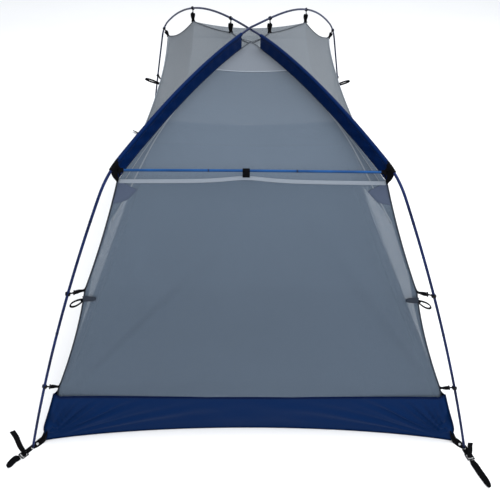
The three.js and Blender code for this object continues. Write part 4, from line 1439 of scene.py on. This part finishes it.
def add_corner_strap(place):
    """Webbing sewn up the tub's corner, past the pole's hole to the buckle."""
    end, side, foot, out, _ = corner_frame(place)
    key = "front" if end is FRONT else "rear"
    corner = np.array([side * TUB_BASE[key][0], TUB_BASE[key][1], 0.0])
    rim = np.array([side * end["rim"][0], end["rim"][1], TUB_TOP])
    up_wall = unit(rim - corner)
    outward = unit((side * 0.75, end["sign"] * 0.66, 0))
    points = [corner + up_wall * 0.052 + outward * 0.0020, corner + up_wall * 0.028 + outward * 0.0030,
              corner + up_wall * 0.010 + outward * 0.0050, corner * 0.66 + foot * 0.34 + UP * 0.0060,
              foot * 0.7 + corner * 0.3 + UP * 0.0036, foot + UP * 0.0016,
              foot + out * 0.012 + UP * 0.0014, foot + out * 0.0235 + UP * 0.0020]
    path = smooth_path(points, 90)
    face = unit((0, -1, 1.1)) if end is FRONT else unit((0, 1, 1.1))
    ups = []
    for k, t in enumerate(np.gradient(path, axis=0)):
        share = k / (len(path) - 1)
        want = unit(outward * max(0.0, 1 - share * 2.2) + face * min(1.0, share * 2.2))
        t = unit(t)
        ups.append(unit(want - t * np.dot(want, t)))
    strap = Pieces()
    widths = np.interp(np.linspace(0, 1, len(path)), [0, 0.12, 0.4, 1], [0.008, 0.020, 0.0215, WEBBING])
    holes = [(0.52, 0.040, 0.0040), (0.74, 0.045, 0.0046)]
    pierced_strap(strap, path, ups, widths, holes, 0.0024)
    side_dir = unit(np.cross(out, (0, 0, 1)))
    for edge in (-0.4, 0.4):
        line = path[:40] + side_dir * edge * 0.016
        stitches(strap, line, ups[:40], pitch=0.005, dash=0.0032, lift=0.001, slot=1)
    finish_piece(strap.make(f"corner_webbing_{place}", [WEB, THREAD]), ROOT, "black_webbing",
                 f"corner_strap_{place}")


def add_buckle(place):
    """A ladder-lock: two side rails, three bars, the last one tilted up as a thumb lip."""
    _, _, foot, out, _ = corner_frame(place)
    side_dir = unit(np.cross(out, (0, 0, 1)))

    def at(x, y, z):
        return foot + out * x + side_dir * y + UP * z

    body = Pieces()
    for y in (-0.0118, 0.0118):
        heights = ((0.0240, 0.0026), (0.030, 0.0030), (0.038, 0.0036), (0.0480, 0.0030))
        rail = [at(x, y, z) for x, z in heights]
        body.sweep(rail, strap_section(0.0034, 0.0034), (0, 0, 1))
    for x, z, wide in ((0.0255, 0.0026, 0.0030), (0.0355, 0.0034, 0.0032), (0.0465, 0.0032, 0.0034)):
        bar = [at(x, y, z) for y in np.linspace(-0.0125, 0.0125, 7)]
        body.sweep(bar, strap_section(wide, 0.0030), (0, 0, 1))
    lip = [at(0.0475, y, 0.0046) for y in np.linspace(-0.009, 0.009, 7)]
    body.sweep(lip, strap_section(0.0036, 0.0016), unit(out + np.array([0, 0, 1.2])))
    name = f"buckle_{place}_body"
    lock = body.make(f"ladder_lock_{place}", PLASTIC)
    finish_piece(lock, name, "black_plastic", f"strap_buckle_{place}")
    add_strap_tail(place, at, out, side_dir, name)


# Each loose strap end: its length, and the way it leans.
TAIL = dict(front_left=(0.096, (-0.30, 0.20, 1.0)), front_right=(0.040, (0.10, 0.55, 0.8)),
            rear_left=(0.030, (0.50, 0.30, 0.7)), rear_right=(0.046, (0.25, -0.1, 1.0)))


def add_strap_tail(place, at, out, side_dir, body):
    """The strap's loose end, standing up from the buckle and turned over at its tip."""
    reach, lean = TAIL[place][0], unit(TAIL[place][1])
    start = at(0.0330, 0.0, 0.0075)
    points = [at(0.0420, 0, 0.0056), start, start + lean * reach * 0.33,
              start + lean * reach * 0.7 - out * 0.003, start + lean * reach - out * 0.002]
    path = smooth_path(points, 26)
    ups = []
    for k, t in enumerate(np.gradient(path, axis=0)):
        turn = ease(k / 12)
        facing = np.array([1.0, 0.2, 0]) * math.copysign(1, side_dir[0] + 1e-6)
        wide = unit(side_dir * (1 - turn) + facing * turn)
        ups.append(unit(np.cross(wide, t)))
    tail = Pieces()
    tail.sweep(path, strap_section(0.0180, 0.0020), ups)
    tail.sweep(path[-9:] + ups[-1] * 0.0016, strap_section(0.0182, 0.0020), ups[-9:])
    finish_piece(tail.make(f"strap_tail_{place}", WEB), body, "black_webbing")


def add_stake_loop(place):
    """A long webbing loop for the peg, turned on its edge, its two runs meeting at the buckle."""
    end, side, foot, out, length = corner_frame(place)
    side_dir = unit(np.cross(out, (0, 0, 1)))
    start, stop = 0.0510, length
    shares = np.linspace(0, 1, 50)
    path = np.array([foot + out * (start + (stop - start) * t) + side_dir * 0.0020 * math.sin(5 * t)
                     + np.array([0, 0, 0.0034 + 0.0055 * ease(t * 3)]) for t in shares])
    lean = np.array([-0.45 * side, 0.65 * end["sign"], 0.70])
    twist = [unit(UP * (1 - ease(t * 3)) + lean * ease(t * 3)) for t in shares]
    twist = [unit(up - out * np.dot(up, out)) for up in twist]
    widths = np.interp(shares, [0, 0.12, 0.5, 0.8, 0.93, 1.0],
                       [0.0175, 0.0205, 0.0215, 0.0205, 0.0160, 0.0090])
    loop = Pieces()
    pierced_strap(loop, path, twist, widths, [(0.60, 0.30, -0.0003)], 0.0034)
    finish_piece(loop.make(f"stake_webbing_{place}", WEB), f"stake_{place}_body", "black_webbing",
                 f"stake_loop_{place}")


def add_zip_slider(side, word):
    """A slider body, its bridge and a cord-tied pull."""
    u, v = DOOR["front"] + 0.03, DOOR["low"] - 0.028
    p, out = wall_frame(side, u, v)
    along = unit(side_point(side, u + 0.02, v) - side_point(side, u - 0.02, v))
    up = np.cross(out, along)
    up *= math.copysign(1, up[2])
    body = Pieces()
    path = [p + along * x + out * 0.0035 for x in (-0.007, -0.005, 0.0, 0.005, 0.007)]
    widths = (0.0055, 0.0075, 0.009, 0.0085, 0.006)
    body.sweep(path, np.array([strap_section(w, 0.0040) for w in widths]), out)
    bridge = [p + along * x + out * (0.0055 + z)
              for x, z in ((-0.004, 0.0), (-0.002, 0.0018), (0.002, 0.0018), (0.004, 0.0))]
    body.sweep(bridge, strap_section(0.0028, 0.0012), out)
    pull = [p + out * (0.0062 - 0.002 * t) - up * (0.003 + 0.020 * t) for t in np.linspace(0, 1, 6)]
    widths = (0.0025, 0.0022, 0.0030, 0.0052, 0.0060, 0.0050)
    body.sweep(pull, np.array([strap_section(w, 0.0022) for w in widths]), out)
    finish_piece(body.make(f"slider_made_{word}", DARK_METAL), f"zip_slider_{word}_body", "black_plastic",
                 f"zip_slider_{word}")


def add_ground_corners():
    for place in STAKE_END:
        add_corner_strap(place)
        add_buckle(place)
        add_stake_loop(place)


# ---- assembly ------------------------------------------------------------------------------
add_camera()
add_studio()
add_floor()
add_poles()
add_crossbar()
add_end_panels()
for tent_side, tent_word in SIDES:
    add_side(tent_side, tent_word)
    add_sleeve(tent_side, tent_word)
    add_hub_patch(tent_side, tent_word)
    add_zip_slider(tent_side, tent_word)
add_tub()
add_corner_seams()
add_eave_tapes()
add_front_tape()
add_corner_tapes()
add_corner_patches()
add_peak_cross()
add_clips()
add_ground_corners()
